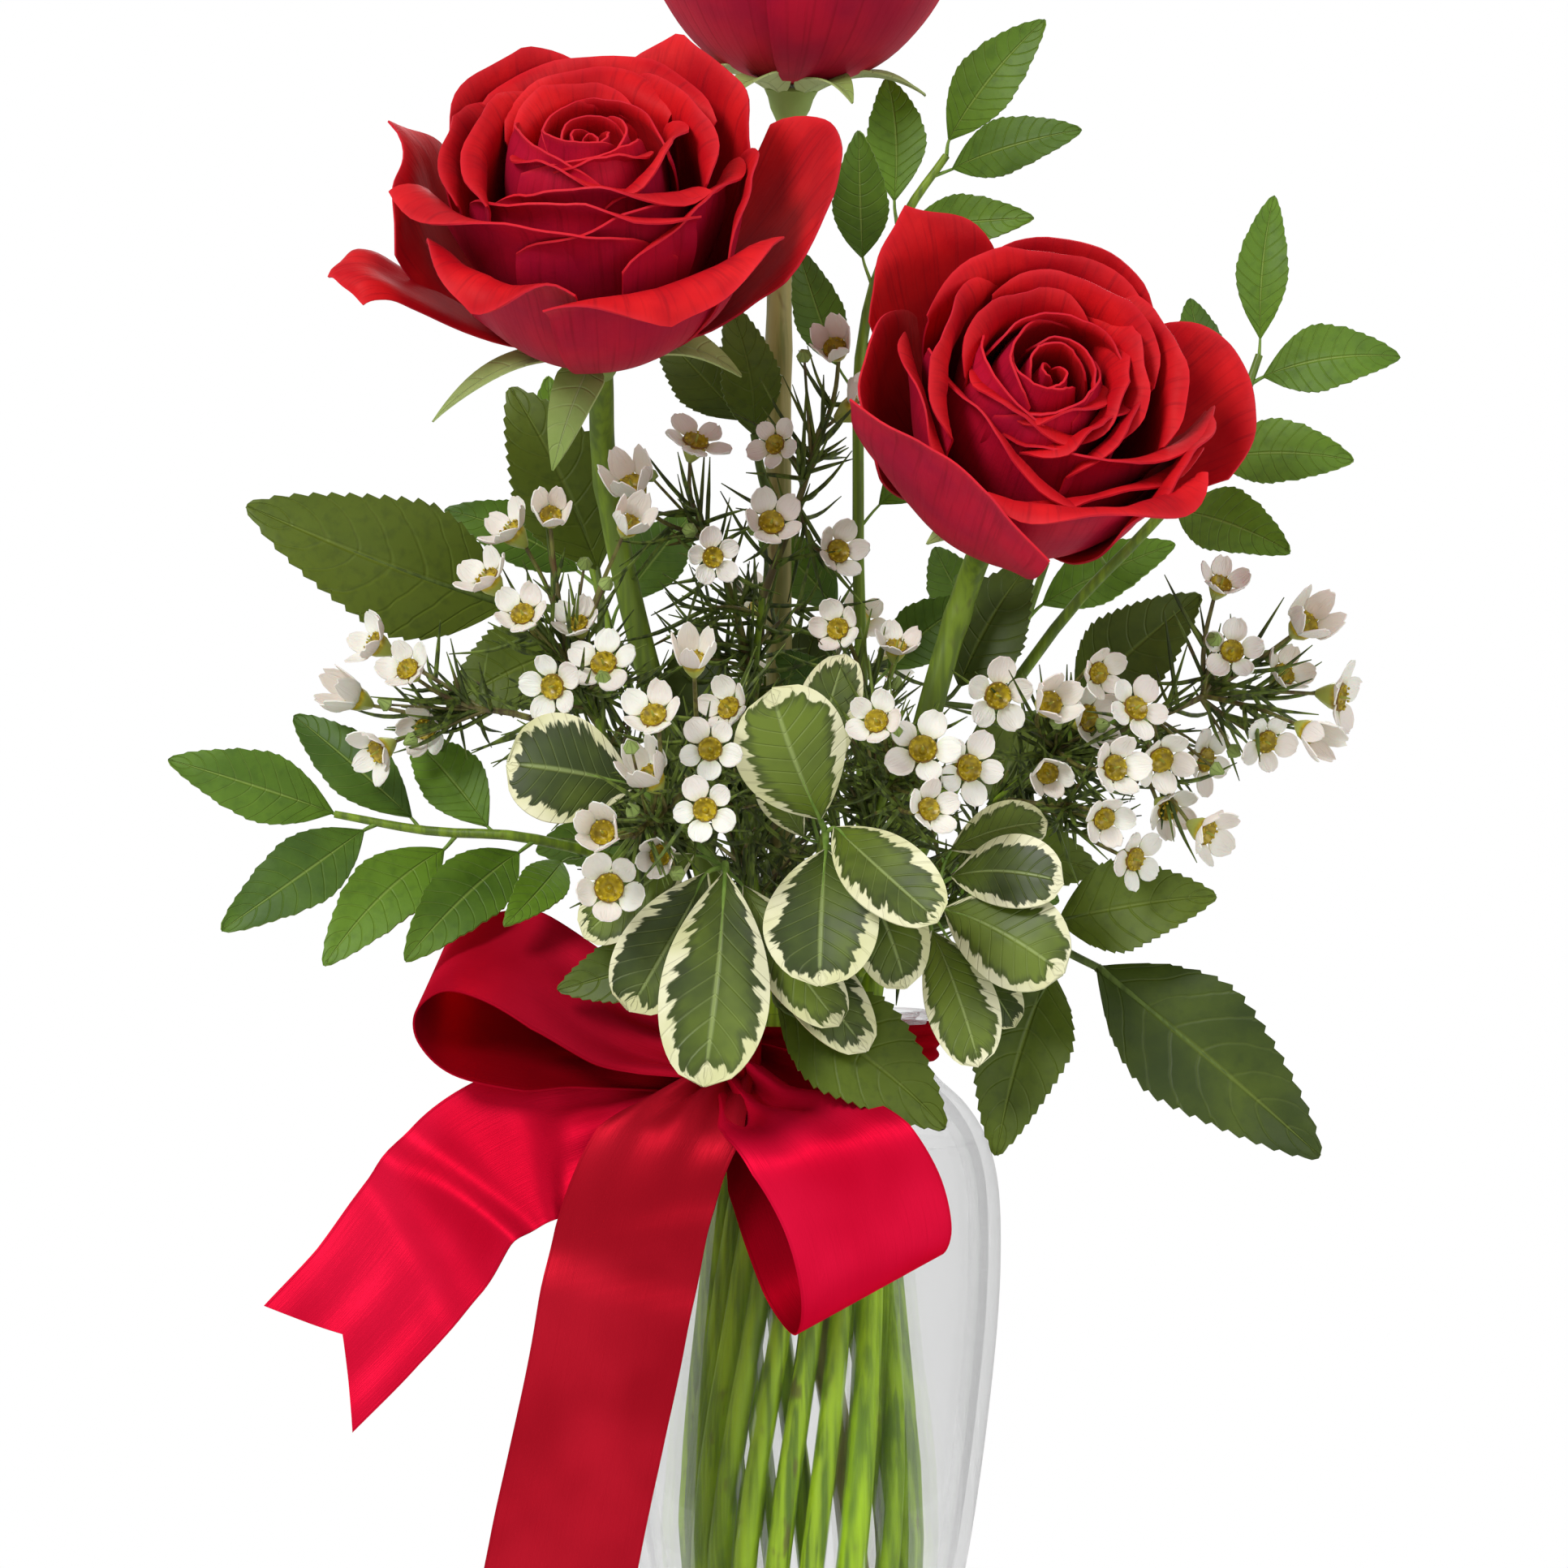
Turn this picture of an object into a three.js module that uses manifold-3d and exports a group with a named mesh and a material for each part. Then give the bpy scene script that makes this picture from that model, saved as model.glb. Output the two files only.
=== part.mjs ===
// Three red roses with waxflower, variegated pittosporum and leafy sprays in a clear glass vase,
// with a satin ribbon tied in a bow round the vase's neck.
// Millimetres, +Z up. The origin is the middle of the vase's foot, on the surface it stands on.
// -Y is the front, +X is the right hand side seen from the front.
import * as THREE from "three";
import { mergeVertices } from "three/addons/utils/BufferGeometryUtils.js";
import Module from "manifold-3d";

const wasm = await Module();
wasm.setup();

// ---------------------------------------------------------------- driving dimensions
const VASE_HEIGHT = 190;
const GLASS_WALL = 2.8;
const VASE_FLOOR = 8; // thickness of the glass under the water
const VASE_SIDES = 24;
const WATER_LEVEL = 160;
const FIT_GAP = 0.3; // clearance wherever two pieces touch
const ROSE_STEM_RADIUS = 3.4;
const ROSE_STEM_SIDES = 6;
const THIN_STEM_RADIUS = 1.5;
const THIN_STEM_SIDES = 4;
const NECK_RING_RADIUS = 15.3; // the stems stand in one ring where they pass the neck
const STEM_TWIST = 60; // degrees that the ring of stems turns between the vase's floor and its neck
const BLADE = 0.7; // thickness of a leaf
const PETAL = 0.8; // thickness of a rose petal
const SATIN = 0.8; // thickness of the ribbon
const RIBBON_WIDTH = 36;

// Outside of the vase, [radius, height] from the foot to the rim.
const VASE_OUTSIDE = [
  [26, 0],
  [28.8, 3],
  [33.4, 40],
  [39.4, 75],
  [43.2, 104],
  [45.2, 128],
  [45, 148],
  [42.4, 160],
  [37.4, 168.5],
  [30.2, 175.5],
  [27, 182],
  [29.6, VASE_HEIGHT],
];

// Radius of the ring of stems at heights inside the vase.
const RING = [
  [VASE_FLOOR + 1, 20.6],
  [70, 25],
  [130, 20.4],
  [182, NECK_RING_RADIUS],
];

const COLOUR = {
  glass: { color: 0xe9eeee, roughness: 0.05, metalness: 0 },
  water: { color: 0xdfe9ea, roughness: 0.02, metalness: 0 },
  petal: { color: 0xa8101c, roughness: 0.55, metalness: 0 },
  roseGreen: { color: 0x6f8f2a, roughness: 0.5, metalness: 0 },
  leaf: { color: 0x3f6a24, roughness: 0.45, metalness: 0 },
  darkLeaf: { color: 0x35501f, roughness: 0.5, metalness: 0 },
  wax: { color: 0xf0eee6, roughness: 0.6, metalness: 0 },
  variegated: { color: 0x8a9d52, roughness: 0.45, metalness: 0 },
  satin: { color: 0xc31430, roughness: 0.35, metalness: 0 },
};

// ---------------------------------------------------------------- solids and booleans
const at = (x, y, z) => new THREE.Vector3(x, y, z);
const degrees = THREE.MathUtils.degToRad;
const mix = THREE.MathUtils.lerp;

/** A closed geometry as a solid, with its faces turned outwards. */
function solidOf(geometry) {
  const bare = geometry.clone();
  bare.deleteAttribute("normal");
  bare.deleteAttribute("uv");
  const merged = mergeVertices(bare, 1e-4);
  const triVerts = new Uint32Array(merged.index.array);
  const vertProperties = new Float32Array(merged.attributes.position.array);
  const solid = new wasm.Manifold(new wasm.Mesh({ numProp: 3, vertProperties, triVerts }));
  if (solid.volume() >= 0) return solid;
  for (let i = 0; i < triVerts.length; i += 3) {
    [triVerts[i + 1], triVerts[i + 2]] = [triVerts[i + 2], triVerts[i + 1]];
  }
  return new wasm.Manifold(new wasm.Mesh({ numProp: 3, vertProperties, triVerts }));
}

/** All geometries grown together: the largest body, with any hollow that the join sealed filled. */
function fuse(geometries) {
  const joined = geometries.map(solidOf).reduce((whole, next) => whole.add(next));
  const bodies = joined.decompose();
  return bodies.reduce((best, body) => (body.volume() > best.volume() ? body : best));
}

function geometryOf(solid) {
  const mesh = solid.getMesh();
  const points = new Float32Array(mesh.numVert * 3);
  for (let i = 0; i < mesh.numVert; i++) {
    const start = i * mesh.numProp;
    points.set(mesh.vertProperties.subarray(start, start + 3), i * 3);
  }
  const geometry = new THREE.BufferGeometry();
  geometry.setAttribute("position", new THREE.BufferAttribute(points, 3));
  geometry.setIndex(new THREE.BufferAttribute(mesh.triVerts, 1));
  return geometry;
}

function indexed(points, index) {
  const flat = new Float32Array(points.flatMap((p) => [p.x, p.y, p.z]));
  const geometry = new THREE.BufferGeometry();
  geometry.setAttribute("position", new THREE.BufferAttribute(flat, 3));
  geometry.setIndex(index);
  return geometry;
}

// ---------------------------------------------------------------- shapes that a plant is made of
/** Values at even steps along a short list of them. */
function along(list, t) {
  const place = t * (list.length - 1);
  const low = Math.min(Math.floor(place), list.length - 2);
  return mix(list[low], list[low + 1], place - low);
}

/** A tapering round stalk with one ring at each point, as one closed surface. */
function stalk(points, radii, sides) {
  const last = points.length - 1;
  const surface = [];
  let normal = at(0, 1, 0);
  points.forEach((centre, i) => {
    const tangent = points[Math.min(i + 1, last)].clone().sub(points[Math.max(i - 1, 0)]).normalize();
    normal = normal.addScaledVector(tangent, -normal.dot(tangent)).normalize();
    const side = tangent.clone().cross(normal);
    const radius = along(radii, i / last);
    for (let k = 0; k < sides; k++) {
      const turn = (2 * Math.PI * k) / sides;
      const out = normal.clone().multiplyScalar(Math.cos(turn) * radius);
      surface.push(out.addScaledVector(side, Math.sin(turn) * radius).add(centre));
    }
  });
  const index = [];
  for (let i = 0; i < last; i++) {
    for (let k = 0; k < sides; k++) {
      const a = i * sides + k;
      const b = i * sides + ((k + 1) % sides);
      index.push(a, b, b + sides, a, b + sides, a + sides);
    }
  }
  const top = last * sides;
  for (let k = 1; k < sides - 1; k++) {
    index.push(0, k + 1, k, top, top + k, top + k + 1);
  }
  return indexed(surface, index);
}

/** A sheet of even thickness on a grid of points, rows[i][j], with both faces split alike. */
function sheet(rows, thickness) {
  const high = rows.length;
  const wide = rows[0].length;
  const pick = (i, j) => rows[THREE.MathUtils.clamp(i, 0, high - 1)][THREE.MathUtils.clamp(j, 0, wide - 1)];
  const points = [];
  for (const side of [0.5, -0.5]) {
    for (let i = 0; i < high; i++) {
      for (let j = 0; j < wide; j++) {
        const down = pick(i + 1, j).clone().sub(pick(i - 1, j));
        const across = pick(i, j + 1).clone().sub(pick(i, j - 1));
        const normal = across.cross(down).normalize();
        points.push(rows[i][j].clone().addScaledVector(normal, side * thickness));
      }
    }
  }
  const id = (layer, i, j) => (layer * high + i) * wide + j;
  const index = [];
  for (let i = 0; i < high - 1; i++) {
    for (let j = 0; j < wide - 1; j++) {
      const corners = [
        [i, j],
        [i, j + 1],
        [i + 1, j + 1],
        [i + 1, j],
      ];
      const [a, b, c, d] = corners.map(([p, q]) => id(0, p, q));
      const [e, f, g, h] = corners.map(([p, q]) => id(1, p, q));
      index.push(a, b, c, a, c, d, e, g, f, e, h, g);
    }
  }
  const rim = [];
  for (let j = 0; j < wide - 1; j++) rim.push([0, j]);
  for (let i = 0; i < high - 1; i++) rim.push([i, wide - 1]);
  for (let j = wide - 1; j > 0; j--) rim.push([high - 1, j]);
  for (let i = high - 1; i > 0; i--) rim.push([i, 0]);
  rim.forEach(([i, j], n) => {
    const [k, l] = rim[(n + 1) % rim.length];
    index.push(id(0, k, l), id(0, i, j), id(1, i, j), id(0, k, l), id(1, i, j), id(1, k, l));
  });
  return indexed(points, index);
}

// Half width of a leaf, as [distance along it, share of its half width].
const OUTLINE = {
  leaflet: [
    [0.26, 0.82],
    [0.58, 0.98],
    [1, 0.06],
  ],
  toothed: [
    [0, 0.06],
    [0.16, 0.74],
    [0.32, 0.84],
    [0.38, 1.02],
    [0.58, 0.82],
    [0.64, 0.9],
    [0.84, 0.4],
    [1, 0.04],
  ],
  spoon: [
    [0.28, 0.44],
    [0.58, 0.92],
    [0.84, 0.92],
    [1, 0.28],
  ],
  sepal: [
    [0, 0.9],
    [0.45, 0.8],
    [1, 0.1],
  ],
};

/** A leaf on a flat stalk from the root, arched along its rib and folded up at its sides. */
function leafShape(leaf) {
  const { root, from, to, width, kind = "leaflet" } = leaf;
  const { face = [0, -1, 0.3], arch = 0.08, fold = 0.2 } = leaf;
  const base = at(...from);
  const rib = at(...to).sub(base);
  const length = rib.length();
  const ahead = rib.clone().normalize();
  const side = ahead.clone().cross(at(...face)).normalize();
  const up = side.clone().cross(ahead);
  const across = (middle, half) =>
    [-1, 0, 1].map((s) =>
      middle
        .clone()
        .addScaledVector(side, s * half)
        .addScaledVector(up, Math.abs(s) * half * fold),
    );
  const rows = OUTLINE[kind].map(([t, share]) => {
    const middle = base.clone().addScaledVector(rib, t);
    middle.addScaledVector(up, 4 * arch * length * t * (1 - t));
    return across(middle, (share * width) / 2);
  });
  if (root) rows.unshift(across(at(...root), 0.6));
  return sheet(rows, BLADE);
}

// ---------------------------------------------------------------- the vase and the water
function turned(profile) {
  const points = profile.map(([radius, height]) => new THREE.Vector2(radius, height));
  return new THREE.LatheGeometry(points, VASE_SIDES).rotateX(Math.PI / 2);
}

function inside(gap) {
  return VASE_OUTSIDE.filter(([, height]) => height > VASE_FLOOR + 4).map(([radius, height]) => [
    radius - GLASS_WALL - gap,
    height,
  ]);
}

function vase() {
  const floor = [25, VASE_FLOOR];
  return turned([[0, 0], ...VASE_OUTSIDE, ...inside(0).reverse(), floor, [0, VASE_FLOOR]]);
}

function ringRadius(height) {
  const next = Math.max(
    1,
    RING.findIndex(([z]) => z >= height),
  );
  const [[z0, r0], [z1, r1]] = [RING[next - 1], RING[next]];
  return mix(r0, r1, (height - z0) / (z1 - z0));
}

/** Where a stem of the ring is at a height. Its slot is its bearing at the neck, from the front. */
function inVase(slot, height) {
  const [top] = RING[RING.length - 1];
  const turn = degrees(slot - (STEM_TWIST * (top - height)) / (top - RING[0][0]));
  const radius = ringRadius(height);
  return at(Math.sin(turn) * radius, -Math.cos(turn) * radius, height);
}

const ringPoints = (slot) => RING.map(([height]) => inVase(slot, height));

/** The water in the vase, with an open hole round every stem that stands in it. */
function water(stems) {
  const wall = inside(FIT_GAP).filter(([, height]) => height <= WATER_LEVEL);
  const foot = VASE_FLOOR + FIT_GAP;
  const body = solidOf(turned([[0, foot], [24.4, foot], ...wall, [0, WATER_LEVEL]]));
  const holes = stems.map(({ path, radius, sides }) => {
    const lowered = [path[0].clone().setZ(foot - 2), ...path.slice(0, RING.length + 1)];
    const wide = radius + FIT_GAP + 0.1;
    return solidOf(stalk(lowered, [wide, wide], sides));
  });
  return holes.reduce((left, hole) => left.subtract(hole), body);
}

// ---------------------------------------------------------------- rose blooms
/** A point of a petal: u runs across it from -1 to 1 and v from its claw to its tip. */
function petalPoint(petal, u, v) {
  const edge = Math.abs(u);
  const reach = v * (1 - petal.round * edge ** 2.4);
  const [r0, z0, r1, z1, r2, z2, r3, z3] = petal.profile;
  const k = 1 - reach;
  const weights = [k ** 3, 3 * k * k * reach, 3 * k * reach ** 2, reach ** 3];
  let radius = r0 * weights[0] + r1 * weights[1] + r2 * weights[2] + r3 * weights[3];
  let height = z0 * weights[0] + z1 * weights[1] + z2 * weights[2] + z3 * weights[3];
  const rolled = petal.roll * Math.max(0, (edge - 0.5) / 0.5) ** 2 * v ** 1.5;
  radius = radius * (1 + petal.spiral * u) + rolled * 0.25;
  height -= rolled;
  const turn = petal.turn + u * petal.half;
  return at(Math.cos(turn) * radius, Math.sin(turn) * radius, height);
}

/** The petals of the heart, wound in a spiral from the closed middle outwards. */
function heartPetals({ count, inner, outer, height, closed, open, start }) {
  return Array.from({ length: count }, (_, i) => {
    const t = i / (count - 1);
    const belly = mix(inner, outer, t ** 0.85);
    const mouth = belly * mix(closed, open, t);
    const top = height * mix(1, 0.84, t);
    const claw = mix(14, 3.5, t);
    return {
      profile: [3, claw, belly * 0.95, claw + 2, belly * 1.12, top * 0.7, mouth, top],
      half: degrees(mix(100, 62, t)),
      turn: degrees(start + 137.5 * i),
      round: mix(0.1, 0.2, t),
      spiral: -0.05,
      roll: mix(0, 2.5, t),
    };
  });
}

/** An outer petal: bearing, layer, reach and height of its tip, half width, roll, roundness, shoulder. */
function guardPetal([bearing, layer, reach, tipHeight, halfAngle, roll, round, shoulder = 0.52]) {
  const belly = Math.min(30 + 1.6 * layer, reach * 0.92);
  const claw = Math.max(1.2 - 0.3 * layer, 0.7);
  const side = mix(belly * 1.1, reach, 0.25);
  return {
    profile: [3, claw, belly * 0.82, claw + 0.4, side, tipHeight * shoulder, reach, tipHeight],
    half: degrees(halfAngle),
    turn: degrees(bearing),
    round,
    spiral: 0.02,
    roll,
  };
}

function petalSheet(petal, across, up) {
  const rows = Array.from({ length: up + 1 }, (_, i) =>
    Array.from({ length: across + 1 }, (_, j) => petalPoint(petal, (2 * j) / across - 1, i / up)),
  );
  return sheet(rows, PETAL);
}

/** Turns a shape made round +Z so that +Z points along the axis and its foot is at the place. */
function seated(geometry, place, axis) {
  const up = at(...axis).normalize();
  const right = at(1, 0, 0).addScaledVector(up, -up.x).normalize();
  const frame = new THREE.Matrix4().makeBasis(right, up.clone().cross(right), up);
  return geometry.applyMatrix4(frame.setPosition(...place));
}

function bloom({ place, axis, heart, guards }) {
  const core = new THREE.LatheGeometry(
    [
      [0, 0],
      [5, 0],
      [7.5, 5],
      [5, 24],
      [0, 28],
    ].map(([r, z]) => new THREE.Vector2(r, z)),
    6,
  ).rotateX(Math.PI / 2);
  const petals = [
    ...heartPetals(heart).map((petal) => petalSheet(petal, 3, 3)),
    ...guards.map((guard) => petalSheet(guardPetal(guard), 4, 3)),
  ];
  return fuse([core, ...petals].map((shape) => seated(shape, place, axis)));
}

// Bearings run round a bloom's axis: 0 is right, 90 up and -90 down, seen from the front.
const ROSES = {
  left: {
    slot: -61,
    place: [-45.6, -25, 340.4],
    axis: [-0.03, -0.62, 0.78],
    heart: { count: 6, inner: 6, outer: 26.5, height: 58, closed: 0.35, open: 1.02, start: 40 },
    guards: [
      [12, 3, 56, 41, 28, 0, 0.2],
      [52, 1, 38, 55, 38, 2, 0.2],
      [122, 2, 34, 56, 44, 3, 0.2],
      [163, 3, 42.5, 43, 26, 3, 0.16],
      [190, 4, 58, 28, 12, 4, 0.1, 1.07],
      [-122, 1, 37, 45, 34, 3, 0.16],
      [-58, 2, 37, 47, 40, 3, 0.16],
      [-2, 1, 35, 48, 34, 3, 0.2],
    ],
    stem: [
      [-14, -8, 192],
      [-24, -9, 230],
      [-37, -6, 275],
      [-44.5, -8, 311],
    ],
  },
  right: {
    slot: 66,
    place: [44.7, -35, 305],
    axis: [0.17, -0.85, 0.5],
    heart: { count: 6, inner: 6, outer: 26.5, height: 56, closed: 0.35, open: 1.02, start: 190 },
    guards: [
      [21, 2, 52, 32, 27, 1, 0.16],
      [78, 1, 33, 52, 46, 2, 0.16],
      [121, 2, 49, 42, 24, 2, 0.2],
      [166, 1, 38, 40, 34, 2, 0.18],
      [-128, 3, 36, 52, 38, 0, 0.08],
      [-72, 3, 34, 58.5, 42, 0, 0.1],
      [-30, 2, 34, 50, 34, 2, 0.14],
    ],
    stem: [
      [15, -7, 192],
      [21, -8, 226],
      [30, -8, 262],
      [38, -11, 288],
    ],
  },
  top: {
    slot: 192,
    place: [-2.4, 25, 403.6],
    axis: [0.05, -0.14, 0.99],
    heart: { count: 5, inner: 5, outer: 23, height: 57, closed: 0.35, open: 0.85, start: 10 },
    guards: [
      [-50, 2, 42, 54, 52, 2, 0.22],
      [-130, 1, 40, 52, 44, 2, 0.22],
      [25, 0, 36, 54, 46, 2, 0.22],
      [100, 1, 39, 53, 44, 2, 0.22],
      [168, 0, 38, 53, 40, 2, 0.22],
    ],
    stem: [
      [-3.5, 16, 192],
      [-5, 18, 250],
      [-5.4, 19, 310],
      [-5, 23, 360],
    ],
  },
};

const HIP = 9; // length of the green hip under a bloom
// The sepals under each bloom, [bearing, reach, droop of the tip, width].
const SEPALS = {
  left: [
    [350, 30, 4, 10],
    [204, 38, 6, 6.5],
    [246, 25, 15, 9.5],
    [70, 26, 8, 8],
    [130, 27, 11, 8],
  ],
  right: [
    [215, 19, 2, 7],
    [285, 18, 1, 7],
    [350, 19, 2, 7],
    [60, 26, 6, 8],
    [140, 27, 8, 8],
  ],
  top: [
    [190, 26, -1, 8],
    [240, 28, 2, 8],
    [300, 26, 1, 8],
    [350, 29, -1, 8],
    [90, 26, 2, 8],
  ],
};

/** The hip and the sepals under a bloom, made round +Z with the bloom's foot at the origin. */
function calyx(sepals) {
  const hip = new THREE.LatheGeometry(
    [
      [0, -HIP - 1],
      [2.6, -HIP],
      [4.6, -HIP * 0.45],
      [6, -FIT_GAP],
      [0, -FIT_GAP],
    ].map(([r, z]) => new THREE.Vector2(r, z)),
    6,
  ).rotateX(Math.PI / 2);
  const blades = sepals.map(([bearing, reach, droop, width]) => {
    const turn = degrees(bearing);
    const out = (r, z) => [Math.cos(turn) * r, Math.sin(turn) * r, z];
    return leafShape({
      from: out(4, -2.4),
      to: out(reach, -droop),
      width,
      kind: "sepal",
      face: [0, 0, 1],
      arch: 0.08,
      fold: 0.3,
    });
  });
  return [hip, ...blades];
}

/** The line of a rose's stem from the vase's floor to its hip. */
function roseLine({ slot, stem, place, axis }) {
  const end = at(...place).addScaledVector(at(...axis).normalize(), -HIP + 0.5);
  return [...ringPoints(slot), ...stem.map((p) => at(...p)), end];
}

/** A rose's stem, a little thicker at its leaf joints. */
function roseStem(rose) {
  const swelling = [1, 1.08, 0.97, 1.08, 1, 1.08, 0.95, 0.9, 0.85];
  const radii = swelling.map((k) => k * ROSE_STEM_RADIUS);
  return stalk(roseLine(rose), radii, ROSE_STEM_SIDES);
}

// ---------------------------------------------------------------- compound leaves of the roses
const DARK = { kind: "toothed", arch: 0.06, fold: 0.16 };
const ROSE_LEAVES = {
  left: {
    rachis: [
      [-33, -7, 263],
      [-43, 4, 274],
      [-55, 9, 281],
      [-68, 8, 283],
    ],
    leaves: [
      [[-68, 8, 283], { ...DARK, from: [-67.6, 8, 282.6], to: [-125, -12, 305], width: 32 }],
      [[-46, 6, 276], { ...DARK, from: [-47, 14, 291], to: [-67, 14, 333], width: 26 }],
      [[-49, 7, 278], { ...DARK, from: [-55, 6, 272], to: [-81, 0, 259], width: 21 }],
      [[-20, -8.6, 215], { ...DARK, from: [-24, 2, 222], to: [-46, 10, 252], width: 22 }],
      [[-24, -9, 231], { ...DARK, from: [-22, 0, 240], to: [-24, 8, 280], width: 20 }],
    ],
  },
  right: {
    rachis: [
      [17, -8, 203],
      [34, -20, 211],
      [50, -31, 208],
      [66, -30, 200.5],
    ],
    leaves: [
      [[66, -30, 200.5], { ...DARK, from: [66, -30, 200.5], to: [115.6, -36, 159], width: 30 }],
      [[50, -31, 208], { ...DARK, from: [57, -37, 211], to: [91.4, -44, 217], width: 21 }],
      [[52, -31, 207], { ...DARK, from: [55, -42, 200], to: [42.7, -52, 160], width: 22 }],
      [[29, -8, 260], { ...DARK, from: [63, 8, 260], to: [91, 4, 285], width: 21 }],
      [[24.5, -8, 240], { ...DARK, from: [34, -2, 242], to: [64, -4, 250], width: 20 }],
      [[22, -8, 230], { ...DARK, from: [34, 2, 226], to: [68, 0, 222], width: 21 }],
      [[29, -8, 258], { ...DARK, from: [36, 0, 264], to: [52, 2, 292], width: 20 }],
    ],
  },
  top: {
    rachis: [
      [-5, 18, 300],
      [-9, 14, 312],
      [-11, 11, 322],
    ],
    leaves: [
      [[-11, 11, 322], { ...DARK, from: [-11, 11, 322], to: [-17, 0, 352], width: 14 }],
      [[-5, 19, 318], { ...DARK, from: [-14, 24, 326], to: [-34, 30, 348], width: 16 }],
      [[-4.3, 17, 222], { ...DARK, from: [-8, 20, 228], to: [-18, 18, 264], width: 20 }],
      [[-4.6, 17.6, 238], { ...DARK, from: [-1, 22, 244], to: [4, 22, 280], width: 20 }],
    ],
  },
};

function roseGreen(name) {
  const rose = ROSES[name];
  const { rachis, leaves } = ROSE_LEAVES[name];
  const shapes = [
    roseStem(rose),
    ...calyx(SEPALS[name]).map((shape) => seated(shape, rose.place, rose.axis)),
    stalk(
      rachis.map((p) => at(...p)),
      [1.3, 0.9],
      4,
    ),
  ];
  for (const [from, leaf] of leaves) shapes.push(leafShape({ root: from, ...leaf }));
  return fuse(shapes);
}

// ---------------------------------------------------------------- thin stems with leaves
const LEAFY = {
  leafy_spray_top: {
    slot: 129,
    path: [
      [13, 10.5, 195],
      [14, 14, 250],
      [13, 14, 310],
      [15, 14, 350],
      [24, 20, 373],
      [33.5, 22, 387],
    ],
    leaves: [
      [[33.5, 22, 387], [34.2, 24, 391], [56.2, 18, 418], 15],
      [[30, 21.5, 382], [35, 22, 384], [64.3, 10, 391.8], 14],
      [[20, 18, 366], [25, 19, 370], [53.1, 4, 371], 13],
      [[16, 15.5, 357], [14, 15, 363], [13, 4, 391], 13],
      [[22, 19, 371], [21.5, 25, 377], [20, 33, 406], 14],
      [[14, 14, 340], [18, 12, 347], [31, 2, 352], 11],
      [[13.4, 14, 330], [8, 10, 338], [-1, 2, 364], 12],
      [[13, 14, 300], [18, 16, 306], [38, 18, 322], 12],
      [[14, 14, 262], [20, 12, 268], [40, 8, 284], 14],
      [[13.6, 14, 275], [8, 27, 282], [-10, 31, 300], 14],
      [[14, 14, 250], [8, 12, 256], [-6, 10, 272], 13],
    ],
  },
  leafy_spray_right: {
    slot: 110,
    path: [
      [16, 6, 195],
      [32, 11, 235],
      [58, 9, 277],
      [82, 5, 303],
      [98, 7, 322],
      [105, 9, 340],
    ],
    leaves: [
      [[105, 9, 340], [105.3, 10, 344], [108.8, 14, 377], 12],
      [[102.5, 8.4, 333], [106, 8, 335], [137, 0, 339], 16],
      [[92, 6, 314], [95, 6, 316], [125.4, -6, 315], 16],
      [[82, 5, 303], [86, 4, 304], [110.5, -12, 294], 16],
      [[96, 7, 320], [95, 12, 329], [90, 24, 354], 11],
      [[70, 7, 291], [66, 12, 298], [52, 22, 320], 13],
      [[48, 10, 261], [46, 15, 268], [36, 30, 290], 13],
    ],
  },
  leafy_spray_left: {
    slot: -105,
    path: [
      [-16, 3, 195],
      [-35, -1, 219],
      [-60, -17, 229],
      [-85, -16, 231],
      [-105.6, -16, 234.7],
    ],
    leaves: [
      [[-104, -16, 234.3], [-106, -16, 235], [-142.6, -22, 247], 16],
      [[-96, -16, 232.5], [-99, -18, 231], [-129.9, -30, 208.7], 17],
      [[-78, -16.3, 230], [-81, -18, 226.6], [-106.5, -36, 201], 17],
      [[-60, -17, 229], [-64, -20, 226], [-88.2, -42, 202.3], 17],
      [[-86, -16, 231], [-88.5, -14, 234], [-115.5, -6, 257], 15],
      [[-68, -17, 229.5], [-71.2, -14, 232], [-89, -2, 252], 15],
      [[-50, -10.6, 225], [-54, -26, 224], [-66, -46, 210], 11],
    ],
  },
  leafy_spray_back_left: {
    slot: -143,
    path: [
      [-10, 14, 195],
      [-26, 34, 230],
      [-42, 48, 268],
      [-52, 54, 302],
    ],
    leaves: [
      [[-52, 54, 302], [-53, 54.5, 305], [-60, 56, 338], 14],
      [[-48, 51.5, 288], [-53, 52, 292], [-84, 48, 306], 15],
      [[-45, 50, 278], [-43, 54, 284], [-26, 68, 306], 15],
      [[-38, 45, 258], [-43, 45, 262], [-76, 42, 268], 16],
      [[-31, 39, 242], [-30, 44, 248], [-14, 62, 266], 15],
      [[-24, 31, 226], [-29, 31, 228], [-62, 36, 226], 16],
    ],
  },
  leafy_spray_back_right: {
    slot: 148,
    path: [
      [9, 14.5, 195],
      [26, 34, 228],
      [46, 50, 262],
      [58, 56, 294],
    ],
    leaves: [
      [[58, 56, 294], [59, 56.5, 297], [68, 56, 330], 14],
      [[53, 54, 280], [57, 54, 284], [88, 48, 298], 15],
      [[49, 51.5, 268], [46, 56, 274], [32, 70, 298], 15],
      [[38, 44, 248], [43, 44, 250], [78, 40, 254], 16],
      [[31, 38, 236], [29, 43, 240], [14, 62, 252], 15],
      [[24, 31, 222], [29, 31, 223], [60, 34, 214], 16],
    ],
  },
  salal_sprig_front: {
    slot: -8,
    kind: "toothed",
    path: [
      [-2.2, -17, 195],
      [-4, -32, 200],
      [-6, -46, 197],
    ],
    leaves: [
      [[-6, -45, 197], [-5.2, -52, 192.5], [31.2, -60, 166], 25],
      [[-4, -34, 200], [-22, -47, 206], [-54, -50, 196], 18],
    ],
  },
};

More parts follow.
